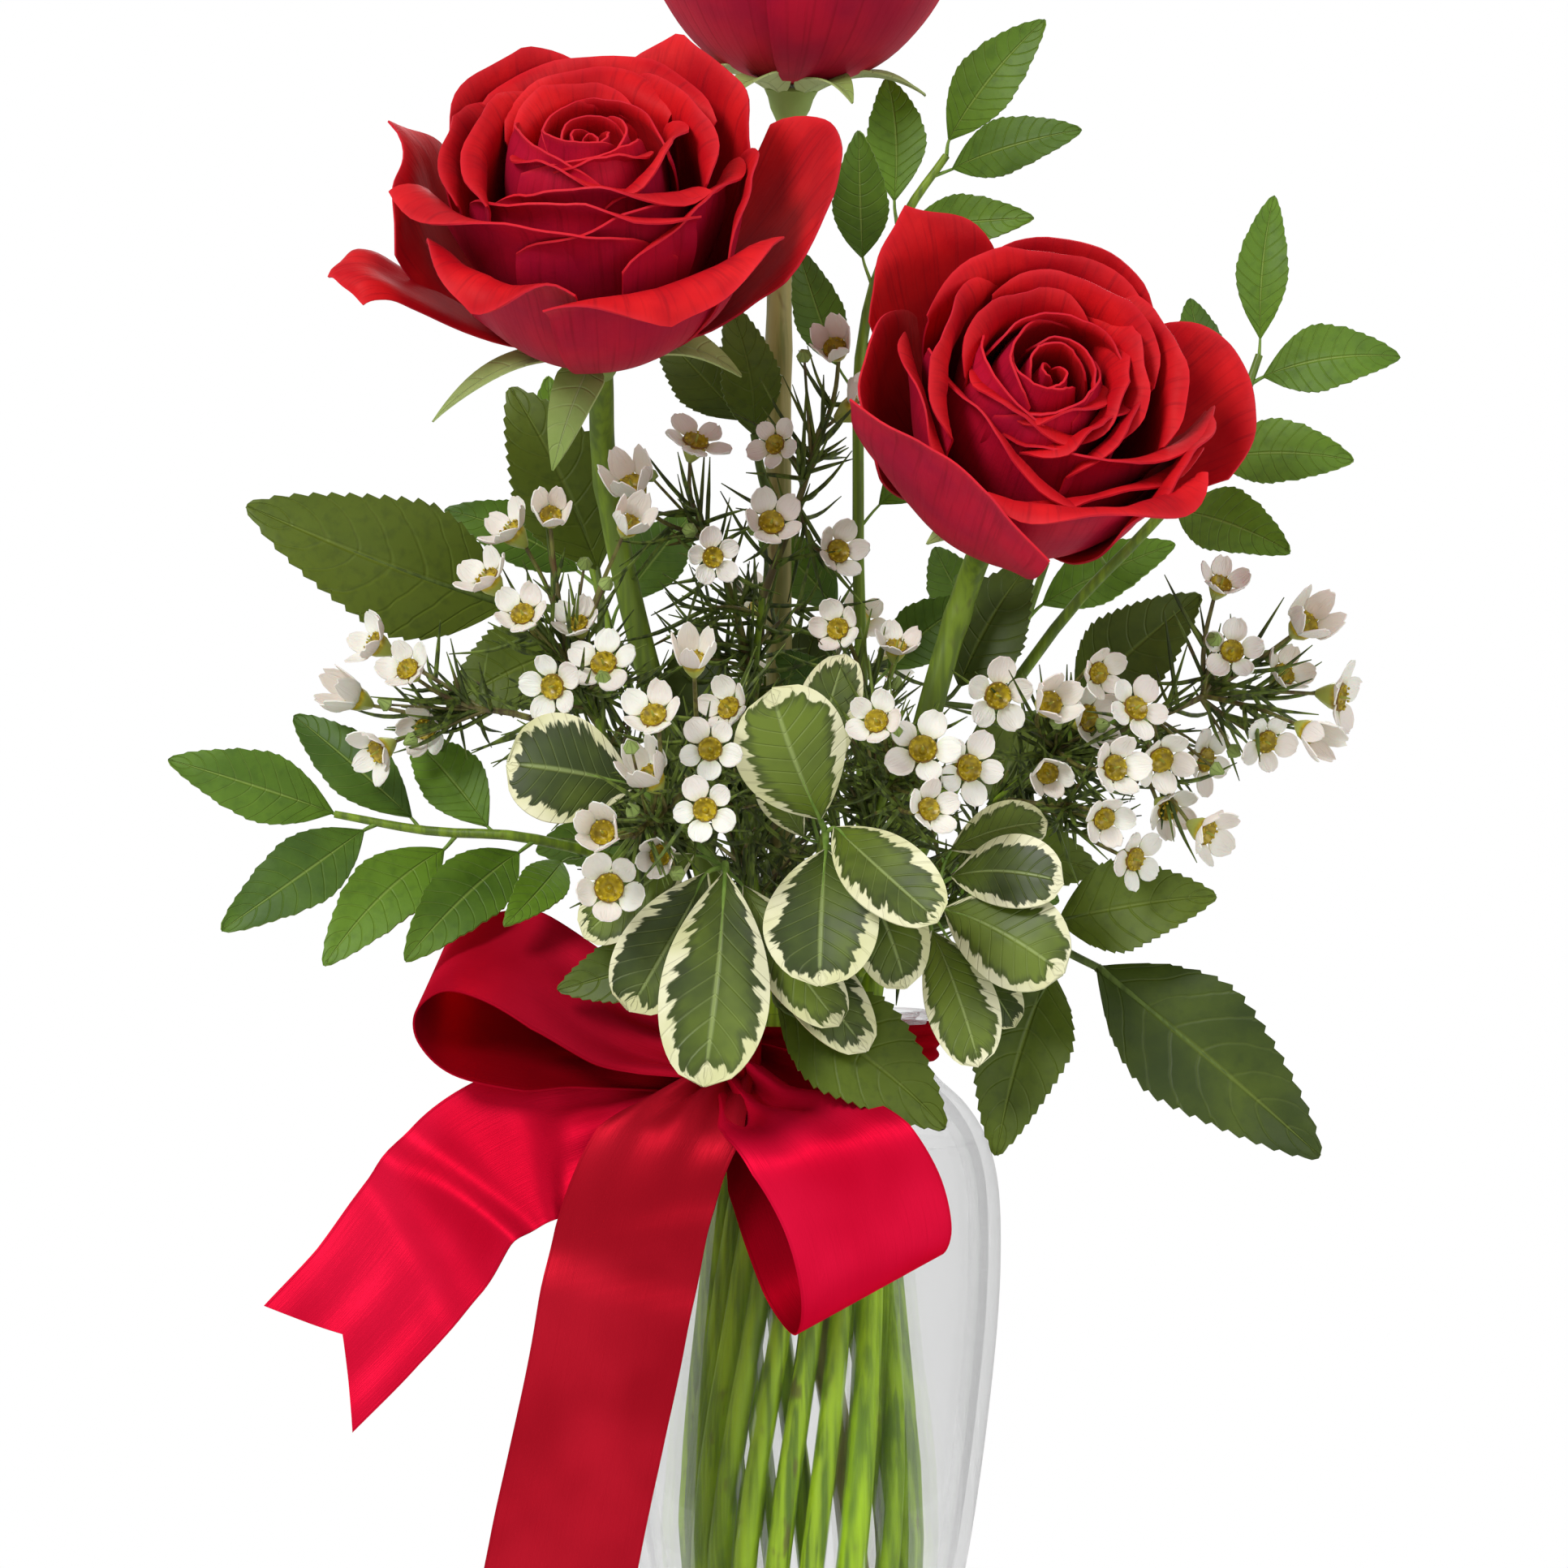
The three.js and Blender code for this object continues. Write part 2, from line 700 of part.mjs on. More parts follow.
// Pittosporum: leaves in a rosette round the end of the sprig.
const PITTOSPORUM = {
  pittosporum_centre: {
    slot: 9,
    path: [
      [2.6, -17, 195],
      [3, -34, 212],
      [4, -52, 226],
      [5, -62, 231],
    ],
    leaves: [
      [[5, -62, 231], [3.7, -66, 234], [-6.9, -78, 262], 25],
      [[5, -62, 231], [7, -66, 232], [29, -90, 212], 18],
      [[5, -62, 231], [5, -67, 227], [3.5, -84, 198], 25],
      [[4.5, -57, 228.5], [10, -60, 225], [22.4, -71, 197], 17],
      [[4, -54, 227], [2, -56, 236], [9.5, -56, 270], 14],
      [[4.5, -57, 228.5], [0, -58, 230], [-9, -60, 243], 9],
    ],
  },
  pittosporum_left: {
    slot: -40,
    path: [
      [-10.5, -12.5, 195],
      [-14, -28, 208],
      [-17, -46, 219],
      [-17, -58, 224],
    ],
    leaves: [
      [[-17, -58, 224], [-17, -62, 222], [-21.5, -78, 176], 24],
      [[-17, -57, 223.5], [-21, -60, 222], [-38, -66, 192], 20],
      [[-16.7, -54, 222.5], [-13, -57, 219], [8, -68, 189], 15],
      [[-16.7, -50, 221], [-10, -51, 213], [14, -62, 183], 16],
      [[-16.8, -52, 221.5], [-37, -52, 241], [-65, -56, 246], 26],
      [[-17, -55, 223], [-24, -55, 226], [-48, -60, 208], 15],
    ],
  },
  pittosporum_right: {
    slot: 45,
    path: [
      [11.6, -12, 195],
      [18, -26, 206],
      [26, -40, 215],
      [30, -47, 219],
    ],
    leaves: [
      [[30, -47, 219], [33, -46, 227], [54, -52, 233], 12],
      [[30, -47, 219], [33, -50, 221], [57, -64, 220], 17],
      [[30, -47, 219], [31.5, -52, 214], [56.9, -66, 200], 22],
      [[28.5, -44.5, 217.5], [28.5, -52, 209], [38.5, -66, 180], 16],
      [[27, -42, 216], [34, -42, 205], [47, -50, 188], 11],
    ],
  },
};

function thinLine({ slot, path }) {
  return [...ringPoints(slot), ...path.map((p) => at(...p))];
}

function thinStem(spray) {
  const radii = [1, 1, 1, 1, 0.9, 0.8, 0.6].map((k) => k * THIN_STEM_RADIUS);
  return stalk(thinLine(spray), radii, THIN_STEM_SIDES);
}

function leafyStem(spray, defaults) {
  const shapes = [thinStem(spray)];
  for (const [root, from, to, width] of spray.leaves) {
    const leaf = { ...defaults, root, from, to, width };
    if (spray.kind) leaf.kind = spray.kind;
    shapes.push(leafShape(leaf));
  }
  return fuse(shapes);
}

// ---------------------------------------------------------------- waxflower
const CUP_DEPTH = 4.5;

/** One flower: five petals round a cup on a green funnel, which narrows to a thin stalk from the start. */
function waxflower(start, middle, facing, radius) {
  const up = facing.clone().normalize();
  const right = up.clone().cross(at(0.3, 0.1, 1)).normalize();
  const back = up.clone().cross(right);
  const point = (turn, share, lift) =>
    middle
      .clone()
      .addScaledVector(right, Math.cos(turn) * share * radius)
      .addScaledVector(back, Math.sin(turn) * share * radius)
      .addScaledVector(up, lift);
  const rim = [];
  for (let k = 0; k < 5; k++) {
    const turn = (k * 2 * Math.PI) / 5;
    rim.push(point(turn - 0.3, 0.95, 1.4), point(turn + 0.3, 0.95, 1.4));
    rim.push(point(turn + Math.PI / 5, 0.42, 0));
  }
  const thirds = [0, 1, 2].map((k) => (k * 2 * Math.PI) / 3);
  const foot = thirds.map((turn) => point(turn, 0.6 / radius, -CUP_DEPTH));
  const shift = start.clone().sub(middle).addScaledVector(up, CUP_DEPTH);
  const root = foot.map((p) => p.clone().add(shift));
  const cup = rim.length;
  const index = [];
  for (let k = 0; k < 15; k++) {
    const next = (k + 1) % 15;
    const near = cup + 1 + Math.floor(k / 5);
    index.push(k, next, cup, next, k, near);
  }
  for (let k = 0; k < 3; k++) {
    const a = cup + 1 + k;
    const b = cup + 1 + ((k + 1) % 3);
    index.push((5 * k + 5) % 15, a, b, b, a, a + 3, b, a + 3, b + 3);
  }
  index.push(cup + 4, cup + 6, cup + 5);
  return indexed([...rim, point(0, 0, -2), ...foot, ...root], index);
}

// Each spray: its slot in the neck, its main stem, its side branches and its flowers' places.
const WAXFLOWER = {
  waxflower_left: {
    slot: -86,
    path: [
      [-17, -1, 195],
      [-30, -9, 222],
      [-42, -26, 246],
      [-48, -31, 262],
    ],
    branches: [
      [
        [-42, -26, 246],
        [-60, -25, 256],
        [-78, -21, 259],
      ],
      [
        [-48, -31, 262],
        [-56, -32, 274],
      ],
    ],
    front: [-0.35, -1, 0.25],
    flowers: [
      [-96, -22, 273],
      [-101, -16, 261],
      [-88, -32, 267],
      [-95, -24, 249],
      [-85, -16, 254],
      [-56, -38, 301],
      [-65, -28, 298],
      [-38.6, -40, 299],
      [-70, -36, 287],
      [-62, -42, 279],
      [-50, -36, 277],
      [-44, -44, 268],
      [-55, -50, 263],
    ],
  },
  waxflower_top: {
    slot: -124,
    path: [
      [-14, 9, 195],
      [-12, 9, 235],
      [-11, 2, 265],
      [-9, -6, 284],
    ],
    branches: [
      [
        [-11, 2, 265],
        [-18, -10, 290],
        [-24, -16, 303],
      ],
      [
        [-9, -6, 284],
        [-1, -8, 305],
        [4, -8, 322],
      ],
    ],
    front: [0, -1, 0.5],
    flowers: [
      [-24, -26, 318],
      [-38, -28, 308],
      [-6, -18, 318],
      [-7, -26, 300],
      [8, -16, 294],
      [7.5, -12, 340],
      [12, -6, 327],
      [-20, -36, 292],
    ],
  },
  waxflower_front_left: {
    slot: -24,
    path: [
      [-7, -16, 195],
      [-10, -26, 216],
      [-18, -44, 238],
      [-25, -60, 248],
    ],
    branches: [
      [
        [-18, -44, 238],
        [-32, -62, 234],
        [-37, -70, 230],
      ],
    ],
    front: [-0.2, -1, 0.2],
    flowers: [
      [-23.5, -82, 268],
      [-32, -90, 256],
      [-20, -82, 249],
      [-33, -76, 243],
      [-21, -92, 236],
      [-43, -86, 231],
      [-42, -76, 219],
      [-31, -66, 226],
      [-16, -62, 258],
    ],
  },
  waxflower_front_right: {
    slot: 27,
    path: [
      [8, -15.5, 195],
      [12, -26, 216],
      [17, -42, 236],
      [20, -58, 244],
    ],
    branches: [
      [
        [12, -26, 216],
        [15, -28, 245],
        [16, -30, 262],
      ],
    ],
    front: [0.1, -1, 0.2],
    flowers: [
      [15.9, -80, 255],
      [26, -74, 249],
      [27, -80, 236],
      [36, -68, 245],
      [8, -36, 276],
      [21, -30, 272],
    ],
  },
  waxflower_right: {
    slot: 91,
    path: [
      [17, 0, 195],
      [30, -10, 219],
      [44, -26, 238],
      [56, -34, 249],
    ],
    branches: [
      [
        [56, -34, 249],
        [78, -32, 256],
        [96, -28, 264],
      ],
      [
        [44, -26, 238],
        [60, -38, 236],
      ],
    ],
    front: [0.35, -1, 0.15],
    flowers: [
      [43, -50, 261],
      [54, -58, 259],
      [65, -50, 266],
      [63, -42, 256],
      [73, -56, 258],
      [54, -48, 244],
      [68, -64, 245],
      [66, -58, 234],
      [73, -50, 225],
      [79, -48, 247],
      [81, -40, 236],
      [89, -48, 231],
      [93.4, -32, 286],
      [95.5, -38, 271],
      [112, -32, 277],
      [108, -24, 266],
      [120, -30, 261],
      [103, -38, 251],
      [112, -48, 253],
      [90, -28, 247],
    ],
  },
  waxflower_back: {
    slot: 167,
    path: [
      [4, 17, 195],
      [8, 36, 226],
      [6, 52, 252],
      [4, 60, 270],
    ],
    branches: [
      [
        [6, 52, 252],
        [0, 62, 260],
      ],
    ],
    front: [0, 1, 0.4],
    flowers: [
      [4, 72, 292],
      [-10, 80, 284],
      [14, 82, 281],
      [2, 74, 272],
      [-12, 84, 266],
      [12, 82, 262],
      [-2, 92, 255],
      [20, 74, 270],
    ],
  },
};

/** Where a flower's own thin stalk leaves the spray: a little below the nearest place on its branches. */
function fork(spray, middle) {
  const twigs = [spray.path.slice(1), ...spray.branches].map((line) => line.map((p) => at(...p)));
  let best = twigs[0][1];
  for (const line of twigs) {
    for (let i = 1; i < line.length; i++) {
      const part = new THREE.Line3(line[i - 1], line[i]);
      const share = part.closestPointToPointParameter(middle, true);
      const back = THREE.MathUtils.clamp(share - 7 / part.distance(), 0.02, 0.97);
      const place = part.at(back, at(0, 0, 0));
      if (place.distanceTo(middle) < best.distanceTo(middle)) best = place;
    }
  }
  return best;
}

/** The way a flower faces: out along its stalk and towards the spray's front. */
function flowerFacing(spray, start, middle) {
  const grown = middle.clone().sub(start).normalize();
  return grown.multiplyScalar(0.7).add(at(...spray.front)).normalize();
}

function flowerRadius(number) {
  return 8.6 + 0.9 * Math.sin(number * 2.4);
}

function waxflowerSpray(spray) {
  const shapes = [thinStem(spray)];
  for (const branch of spray.branches) {
    shapes.push(
      stalk(
        branch.map((p) => at(...p)),
        [1, 0.8],
        3,
      ),
    );
  }
  spray.flowers.forEach((place, number) => {
    const middle = at(...place);
    const start = fork(spray, middle);
    const facing = flowerFacing(spray, start, middle);
    shapes.push(waxflower(start, middle, facing, flowerRadius(number)));
  });
  return fuse(shapes);
}

// ---------------------------------------------------------------- the ribbon
// Each run of ribbon: its middle line, and the way across it with the share of the full width there.
const KNOT = [-16.4, -36, 180];
const RIBBON_RUNS = {
  left_loop: {
    steps: 14,
    points: [
      [-16, -38, 180],
      [-35, -40, 186],
      [-44.8, -41.7, 191.5],
      [-58.7, -41, 200],
      [-69, -39.7, 203.2],
      [-78, -38.3, 202.5],
      [-83.2, -36.9, 196.9],
      [-82.7, -36.3, 191],
      [-75.2, -36.2, 185.8],
      [-60.2, -35.6, 184.6],
      [-44.6, -35.2, 183.9],
      [-17, -37, 179],
    ],
    across: [
      [0.15, 0.4, 0.8, 0.3],
      [0.1, 0.55, 0.8, 0.62],
      [0.08, 0.6, 0.78, 0.85],
      [0.05, 0.72, 0.69, 1],
      [0.05, 0.85, 0.52, 1],
      [0.05, 0.93, 0.36, 1],
      [0.1, 0.95, 0.3, 1],
      [0.1, 0.93, 0.36, 1],
      [0.1, 0.88, 0.46, 1],
      [0.1, 0.8, 0.6, 1],
      [0.1, 0.75, 0.65, 0.8],
      [0.15, 0.4, 0.8, 0.3],
    ],
  },
  right_loop: {
    steps: 14,
    points: [
      [-16, -37, 179],
      [-7, -42, 171],
      [-1, -44, 160],
      [3, -46, 148],
      [8, -50, 136],
      [15, -58, 128.5],
      [17.5, -66, 136],
      [12, -70, 148],
      [4.5, -68, 160],
      [-1, -59, 162],
      [-10, -49, 165],
      [-16, -41, 176],
    ],
    across: [
      [0.3, 0.2, 0.9, 0.3],
      [0.75, 0.1, 0.6, 0.75],
      [0.86, 0.1, 0.5, 1],
      [0.86, 0.1, 0.5, 1],
      [0.86, 0.1, 0.5, 1],
      [0.87, 0.1, 0.48, 1],
      [0.9, 0.05, 0.4, 1],
      [0.97, 0, 0.22, 1],
      [1, 0.05, 0.08, 1],
      [0.97, 0.2, 0.05, 0.85],
      [0.8, 0.35, 0.3, 0.5],
      [0.3, 0.2, 0.9, 0.3],
    ],
  },
  left_tail: {
    steps: 10,
    notch: 11,
    points: [
      [-18, -39, 178],
      [-41, -42, 168],
      [-60, -45, 162],
      [-74, -46, 154],
      [-84, -45, 141],
      [-96, -48, 126],
      [-109, -51, 112.5],
    ],
    across: [
      [0.1, 0.2, 0.9, 0.3],
      [-0.1, 0.5, 0.85, 0.8],
      [-0.45, 0.45, 0.75, 1],
      [-0.6, 0.35, 0.7, 1],
      [-0.72, 0.15, 0.62, 1],
      [-0.66, 0.1, 0.72, 0.95],
      [-0.57, 0.1, 0.8, 0.95],
    ],
  },
  front_tail: {
    steps: 10,
    notch: 12,
    points: [
      [-18, -41, 177],
      [-29, -52, 165],
      [-37, -53, 146],
      [-44, -52, 112],
      [-53, -50, 70],
      [-61, -48, 24],
    ],
    across: [
      [-0.9, -0.1, 0, 0.4],
      [-0.98, 0.1, 0.05, 0.9],
      [-0.98, 0.15, -0.12, 1],
      [-0.98, 0.1, -0.18, 1],
      [-0.98, -0.1, -0.18, 1],
      [-0.97, -0.15, -0.18, 1],
    ],
  },
};

/** A run of ribbon as a sheet three points wide, with a swallowtail cut at its end if it has a notch. */
function ribbonRun({ points, across, steps, notch = 0 }) {
  const middle = new THREE.CatmullRomCurve3(points.map((p) => at(...p)));
  const ways = new THREE.CatmullRomCurve3(across.map(([x, y, z]) => at(x, y, z)));
  const widths = across.map(([, , , share]) => share);
  const rows = Array.from({ length: steps + 1 }, (_, i) => {
    const t = i / steps;
    const way = ways.getPoint(t).normalize();
    const centre = middle.getPoint(t);
    const ahead = middle.getTangent(t);
    const half = (along(widths, t) * RIBBON_WIDTH) / 2;
    return [-1, 0, 1].map((s) => {
      const cut = i === steps && s === 0 ? -notch : 0;
      return centre
        .clone()
        .addScaledVector(way, s * half)
        .addScaledVector(ahead, cut);
    });
  });
  return sheet(rows, SATIN);
}

function ribbon() {
  const band = new THREE.LatheGeometry(
    [
      [30, 178.5],
      [31.8, 178.5],
      [31.6, 187],
      [30, 187],
      [29, 183],
      [30, 178.5],
    ].map(([r, z]) => new THREE.Vector2(r, z)),
    18,
  ).rotateX(Math.PI / 2);
  const knot = new THREE.SphereGeometry(1, 8, 6).scale(9, 9, 8).translate(...KNOT);
  return fuse([knot, band, ...Object.values(RIBBON_RUNS).map(ribbonRun)]);
}

// ---------------------------------------------------------------- assembly
const root = new THREE.Group();

function add(name, solid, look) {
  const geometry = solid.isBufferGeometry ? solid : geometryOf(solid);
  const mesh = new THREE.Mesh(geometry, new THREE.MeshStandardMaterial(COLOUR[look]));
  mesh.name = name;
  root.add(mesh);
}

const thin = { ...LEAFY, ...PITTOSPORUM, ...WAXFLOWER };
const standing = [
  ...Object.values(ROSES).map((rose) => ({
    path: roseLine(rose),
    radius: ROSE_STEM_RADIUS * 1.08,
    sides: ROSE_STEM_SIDES,
  })),
  ...Object.values(thin).map((spray) => ({
    path: thinLine(spray),
    radius: THIN_STEM_RADIUS,
    sides: THIN_STEM_SIDES,
  })),
];

add("glass_vase", vase(), "glass");
add("vase_water", water(standing), "water");
for (const [name, rose] of Object.entries(ROSES)) {
  add(`rose_${name}_stem`, roseGreen(name), "roseGreen");
  add(`rose_${name}_bloom`, bloom(rose), "petal");
}
for (const [name, spray] of Object.entries(LEAFY)) add(name, leafyStem(spray, {}), "leaf");
for (const [name, spray] of Object.entries(PITTOSPORUM)) {
  add(name, leafyStem(spray, { kind: "spoon", fold: 0.12, arch: 0.1 }), "variegated");
}
for (const [name, spray] of Object.entries(WAXFLOWER)) add(name, waxflowerSpray(spray), "wax");
add("satin_ribbon", ribbon(), "satin");

export default root;
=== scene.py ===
import math
import random

import bpy
from mathutils import Matrix, Vector, noise


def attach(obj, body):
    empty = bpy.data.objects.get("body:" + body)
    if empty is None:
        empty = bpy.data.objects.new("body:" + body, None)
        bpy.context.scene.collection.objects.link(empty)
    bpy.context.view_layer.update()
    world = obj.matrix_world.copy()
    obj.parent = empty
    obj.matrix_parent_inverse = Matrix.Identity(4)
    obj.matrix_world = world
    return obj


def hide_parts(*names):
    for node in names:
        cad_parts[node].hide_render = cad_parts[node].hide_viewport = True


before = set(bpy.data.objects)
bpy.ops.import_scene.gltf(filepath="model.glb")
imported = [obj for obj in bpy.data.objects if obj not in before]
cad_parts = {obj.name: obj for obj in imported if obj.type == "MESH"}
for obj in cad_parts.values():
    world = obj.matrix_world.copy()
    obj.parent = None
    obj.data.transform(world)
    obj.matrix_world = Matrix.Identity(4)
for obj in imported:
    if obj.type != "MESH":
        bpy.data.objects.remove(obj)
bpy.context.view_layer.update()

MM = 0.001
SEED = 7

# ---------------------------------------------------------------- driving dimensions
GLASS_WALL = 2.8
VASE_FLOOR = 8
WATER_LEVEL = 160
FIT_GAP = 0.3
ROSE_STEM_RADIUS = 3.4
THIN_STEM_RADIUS = 1.5
GOLDEN_ANGLE = 137.5  # degrees from one petal of a rose's heart to the next
WAX_PETALS = 5
ANTHERS = 10
STEM_TWIST = 60  # degrees that the bundle of stems turns from the neck down to the floor
HIP = 9  # length of a rose's hip, below its bloom
CUP_DEPTH = 4.5  # length of a waxflower's cup
BLADE = 0.45  # thickness of a leaf
PETAL = 0.5
WAX_SHEET = 0.3  # thickness of a waxflower's petal
SATIN = 0.5
RIBBON_WIDTH = 36
GATHER = 3.4  # height of the ribbon's folds where it is narrowest
BAND = (178.6, 187)  # lower and upper edge of the ribbon's turn round the neck
BAND_RADIUS = 30.3
KNOT = (-16.4, -36, 180)
KNOT_RADII = (7.5, 7.98, 7.6)
AROUND_NECK = 2 * math.pi * 31  # length of the ribbon's turn
IN_KNOT = 50  # length of the ribbon that the knot takes up

# Outside of the vase, (radius, height) from the foot to the rim.
VASE_OUTSIDE = (
    (26, 0), (28.8, 3), (33.4, 40), (39.4, 75), (43.2, 104), (45.2, 128), (45, 148), (42.4, 160),
    (37.4, 168.5), (30.2, 175.5), (27, 182), (29.6, 190),
)
# The ring in which the stems stand, (height, radius).
RING = ((9, 20.6), (70, 25), (130, 20.4), (182, 15.3))

# Each rose: its slot in the neck, in degrees from the front to the right, the place and axis of its bloom,
# its heart, rings (bearing, mouth, top, half width, flatness, spiral, slope), guards (bearing, layer, reach,
# tip height, half width, roll, roundness, more of its form), stem above the neck, sepals (bearing, reach,
# droop, width), and leaves (root on the stem, start of the blade, tip, width) with the stalk that some share.
# A bloom's bearings run round its axis: 0 is right, 90 up and -90 down, seen from the front.
ROSES = dict(
    left=dict(
        slot=-61,
        place=(-45.6, -25, 340.4),
        axis=(-0.03, -0.62, 0.78),
        heart=dict(height=58, lean=1.5, start=40, petals=10),
        rings=(
            (-75, 8.5, 58.5, 76, 0.12, 0, 0.02), (110, 12, 57.5, 64, 0.15, 0, 0),
            (-120, 11.5, 58, 70, 0.2, 0.1, 0), (100, 17, 57.5, 62, 0.1, -0.1, 0),
            (-20, 15, 57.5, 58, 0.2, 0.05, 0), (-92, 18, 56.5, 66, 0.3, 0, 0.08),
            (160, 20, 57, 60, 0.2, 0.1, 0), (35, 22, 55.5, 56, 0.15, 0, 0),
            (-62, 23.5, 51.5, 60, 0.2, 0, 0.03), (-112, 28, 51.5, 66, 0.15, -0.14, -0.12),
            (-30, 27.5, 49.5, 46, 0.15, 0, 0.04), (85, 27, 55.5, 58, 0.12, 0, 0),
            (165, 28, 54, 40, 0.1, 0, 0), (-100, 21.5, 54, 62, 0.28, 0.05, 0.02),
        ),
        guards=(
            (12, 3, 56, 41, 28, 0, 0.2, dict(curl=0.5, slope=0.1, crumple=1.6)),
            (52, 1, 38, 55, 38, 2, 0.2, dict(curl=1.1, apex=0.3, peak=0.06)),
            (122, 2, 34, 56, 44, 3, 0.2, dict(curl=1.0, apex=-0.2, peak=0.03)),
            (163, 3, 42.5, 43, 26, 3, 0.16, dict(curl=0.8, apex=-0.25, peak=0.13, flat=0.1)),
            (192, 4, 57, 30, 11, 3, 0.08, dict(shoulder=1.15, curl=1.9, lip=0.86, crumple=2.6, peak=0.05)),
            (-126, 1, 36.5, 48.5, 33, 2, 0.08, dict(
                curl=2.2, middle=1, ends=0.35, lip=0.8, slope=0.04, apex=0.1, peak=0.04, flat=0.05)),
            (-64, 2, 37.5, 49, 38, 2, 0.06, dict(
                curl=2.4, middle=1, ends=0.5, lip=0.78, slope=0.03, apex=-0.1, peak=0.04, flat=0.1)),
            (-4, 1, 35, 48, 34, 3, 0.2, dict(curl=1.2, flat=0.1)),
        ),
        stem=((-14, -8, 192), (-24, -9, 230), (-37, -6, 275), (-44.5, -8, 311)),
        sepals=((350, 30, 4, 10), (204, 38, 6, 6.5), (246, 25, 15, 9.5), (70, 26, 8, 8), (130, 27, 11, 8)),
        leaf_stalk=((-33, -7, 263), (-43, 4, 274), (-55, 9, 281), (-68, 8, 283)),
        leaves=(
            ((-68, 8, 283), (-67.6, 8, 282.6), (-125, -12, 305), 32),
            ((-46, 6, 276), (-47, 14, 291), (-67, 14, 333), 26),
            ((-49, 7, 278), (-55, 6, 272), (-81, 0, 259), 21),
            ((-20, -8.6, 215), (-24, 2, 222), (-46, 10, 252), 22),
            ((-24, -9, 231), (-22, 0, 240), (-24, 8, 280), 20),
        ),
    ),
    right=dict(
        slot=66,
        place=(44.7, -35, 305),
        axis=(0.17, -0.85, 0.5),
        heart=dict(height=56, lean=0.5, start=190, petals=9),
        rings=(
            (-70, 8.5, 55, 74, 0.12, 0, 0), (-125, 11, 54.5, 66, 0.2, 0, 0),
            (-10, 12.5, 54.5, 62, 0.2, 0.05, 0), (120, 14, 56, 65, 0.1, 0, 0),
            (15, 16, 55, 58, 0.15, 0, 0), (-137, 18, 50.5, 64, 0.55, 0.08, 0.02),
            (60, 19, 56, 60, 0.12, 0, 0), (165, 21, 55, 54, 0.2, 0, 0), (-70, 19.5, 50, 72, 0.3, 0.55, 0),
            (22, 25, 53, 48, 0.05, 0, 0), (95, 25.5, 54.5, 56, 0.1, 0, 0), (-62, 28, 46.5, 50, 0.2, 0.12, 0),
            (-165, 27, 48, 40, 0.2, 0, 0), (-50, 13.5, 53, 58, 0.2, 0, 0), (-28, 17, 52, 50, 0.2, 0, 0),
        ),
        guards=(
            (21, 2, 52, 32, 27, 1, 0.16, dict(curl=0.5, crumple=1.5)),
            (78, 1, 33, 52, 46, 2, 0.16, dict(curl=0.9)),
            (121, 2, 49, 42, 24, 2, 0.2, dict(curl=1.1, apex=0.1, peak=0.08)),
            (166, 1, 38, 40, 34, 2, 0.18, dict(curl=0.7, crumple=1.4)),
            (-128, 3, 36, 52, 38, 0, 0.08, dict(curl=0.25, flat=0.3, crumple=1.4, apex=-1, peak=0.05)),
            (-72, 3, 34, 57, 42, 0, 0.1, dict(curl=2.3, lip=0.85, flat=0.06, spiral=0.1)),
            (-30, 2, 34, 50, 34, 2, 0.14, dict(curl=1.4, flat=0.14)),
        ),
        stem=((15, -7, 192), (21, -8, 226), (30, -8, 262), (38, -11, 288)),
        sepals=((215, 19, 2, 7), (285, 18, 1, 7), (350, 19, 2, 7), (60, 26, 6, 8), (140, 27, 8, 8)),
        leaf_stalk=((17, -8, 203), (34, -20, 211), (50, -31, 208), (66, -30, 200.5)),
        leaves=(
            ((66, -30, 200.5), (66, -30, 200.5), (115.6, -36, 159), 30),
            ((50, -31, 208), (57, -37, 211), (91.4, -44, 217), 21),
            ((52, -31, 207), (55, -42, 200), (42.7, -52, 160), 22),
            ((29, -8, 260), (63, 8, 260), (91, 4, 285), 21),
            ((24.5, -8, 240), (34, -2, 242), (64, -4, 250), 20),
            ((22, -8, 230), (34, 2, 226), (68, 0, 222), 21),
            ((29, -8, 258), (36, 0, 264), (52, 2, 292), 20),
        ),
    ),
    top=dict(
        slot=192,
        place=(-2.4, 25, 403.6),
        axis=(0.05, -0.14, 0.99),
        heart=dict(height=57, lean=0, start=10, petals=8),
        rings=((40, 14, 56, 66, 0.1, 0, 0), (160, 16, 55, 64, 0.1, 0, 0), (-70, 18, 54, 66, 0.15, 0, 0)),
        guards=(
            (-50, 2, 42, 54, 52, 2, 0.22, dict(curl=1.3)), (-130, 1, 40, 52, 44, 2, 0.22, dict(curl=1.2)),
            (25, 0, 36, 54, 46, 2, 0.22, dict(curl=1.2)), (100, 1, 39, 53, 44, 2, 0.22, dict(curl=1.3)),
            (168, 0, 38, 53, 40, 2, 0.22, dict(curl=1.1)),
        ),
        stem=((-3.5, 16, 192), (-5, 18, 250), (-5.4, 19, 310), (-5, 23, 360)),
        sepals=((190, 26, -1, 8), (240, 28, 2, 8), (300, 26, 1, 8), (350, 29, -1, 8), (90, 26, 2, 8)),
        leaf_stalk=((-5, 18, 300), (-9, 14, 312), (-11, 11, 322)),
        leaves=(
            ((-11, 11, 322), (-11, 11, 322), (-17, 0, 352), 14),
            ((-5, 19, 318), (-14, 24, 326), (-34, 30, 348), 16),
            ((-4.3, 17, 222), (-8, 20, 228), (-18, 18, 264), 20),
            ((-4.6, 17.6, 238), (-1, 22, 244), (4, 22, 280), 20),
        ),
    ),
)
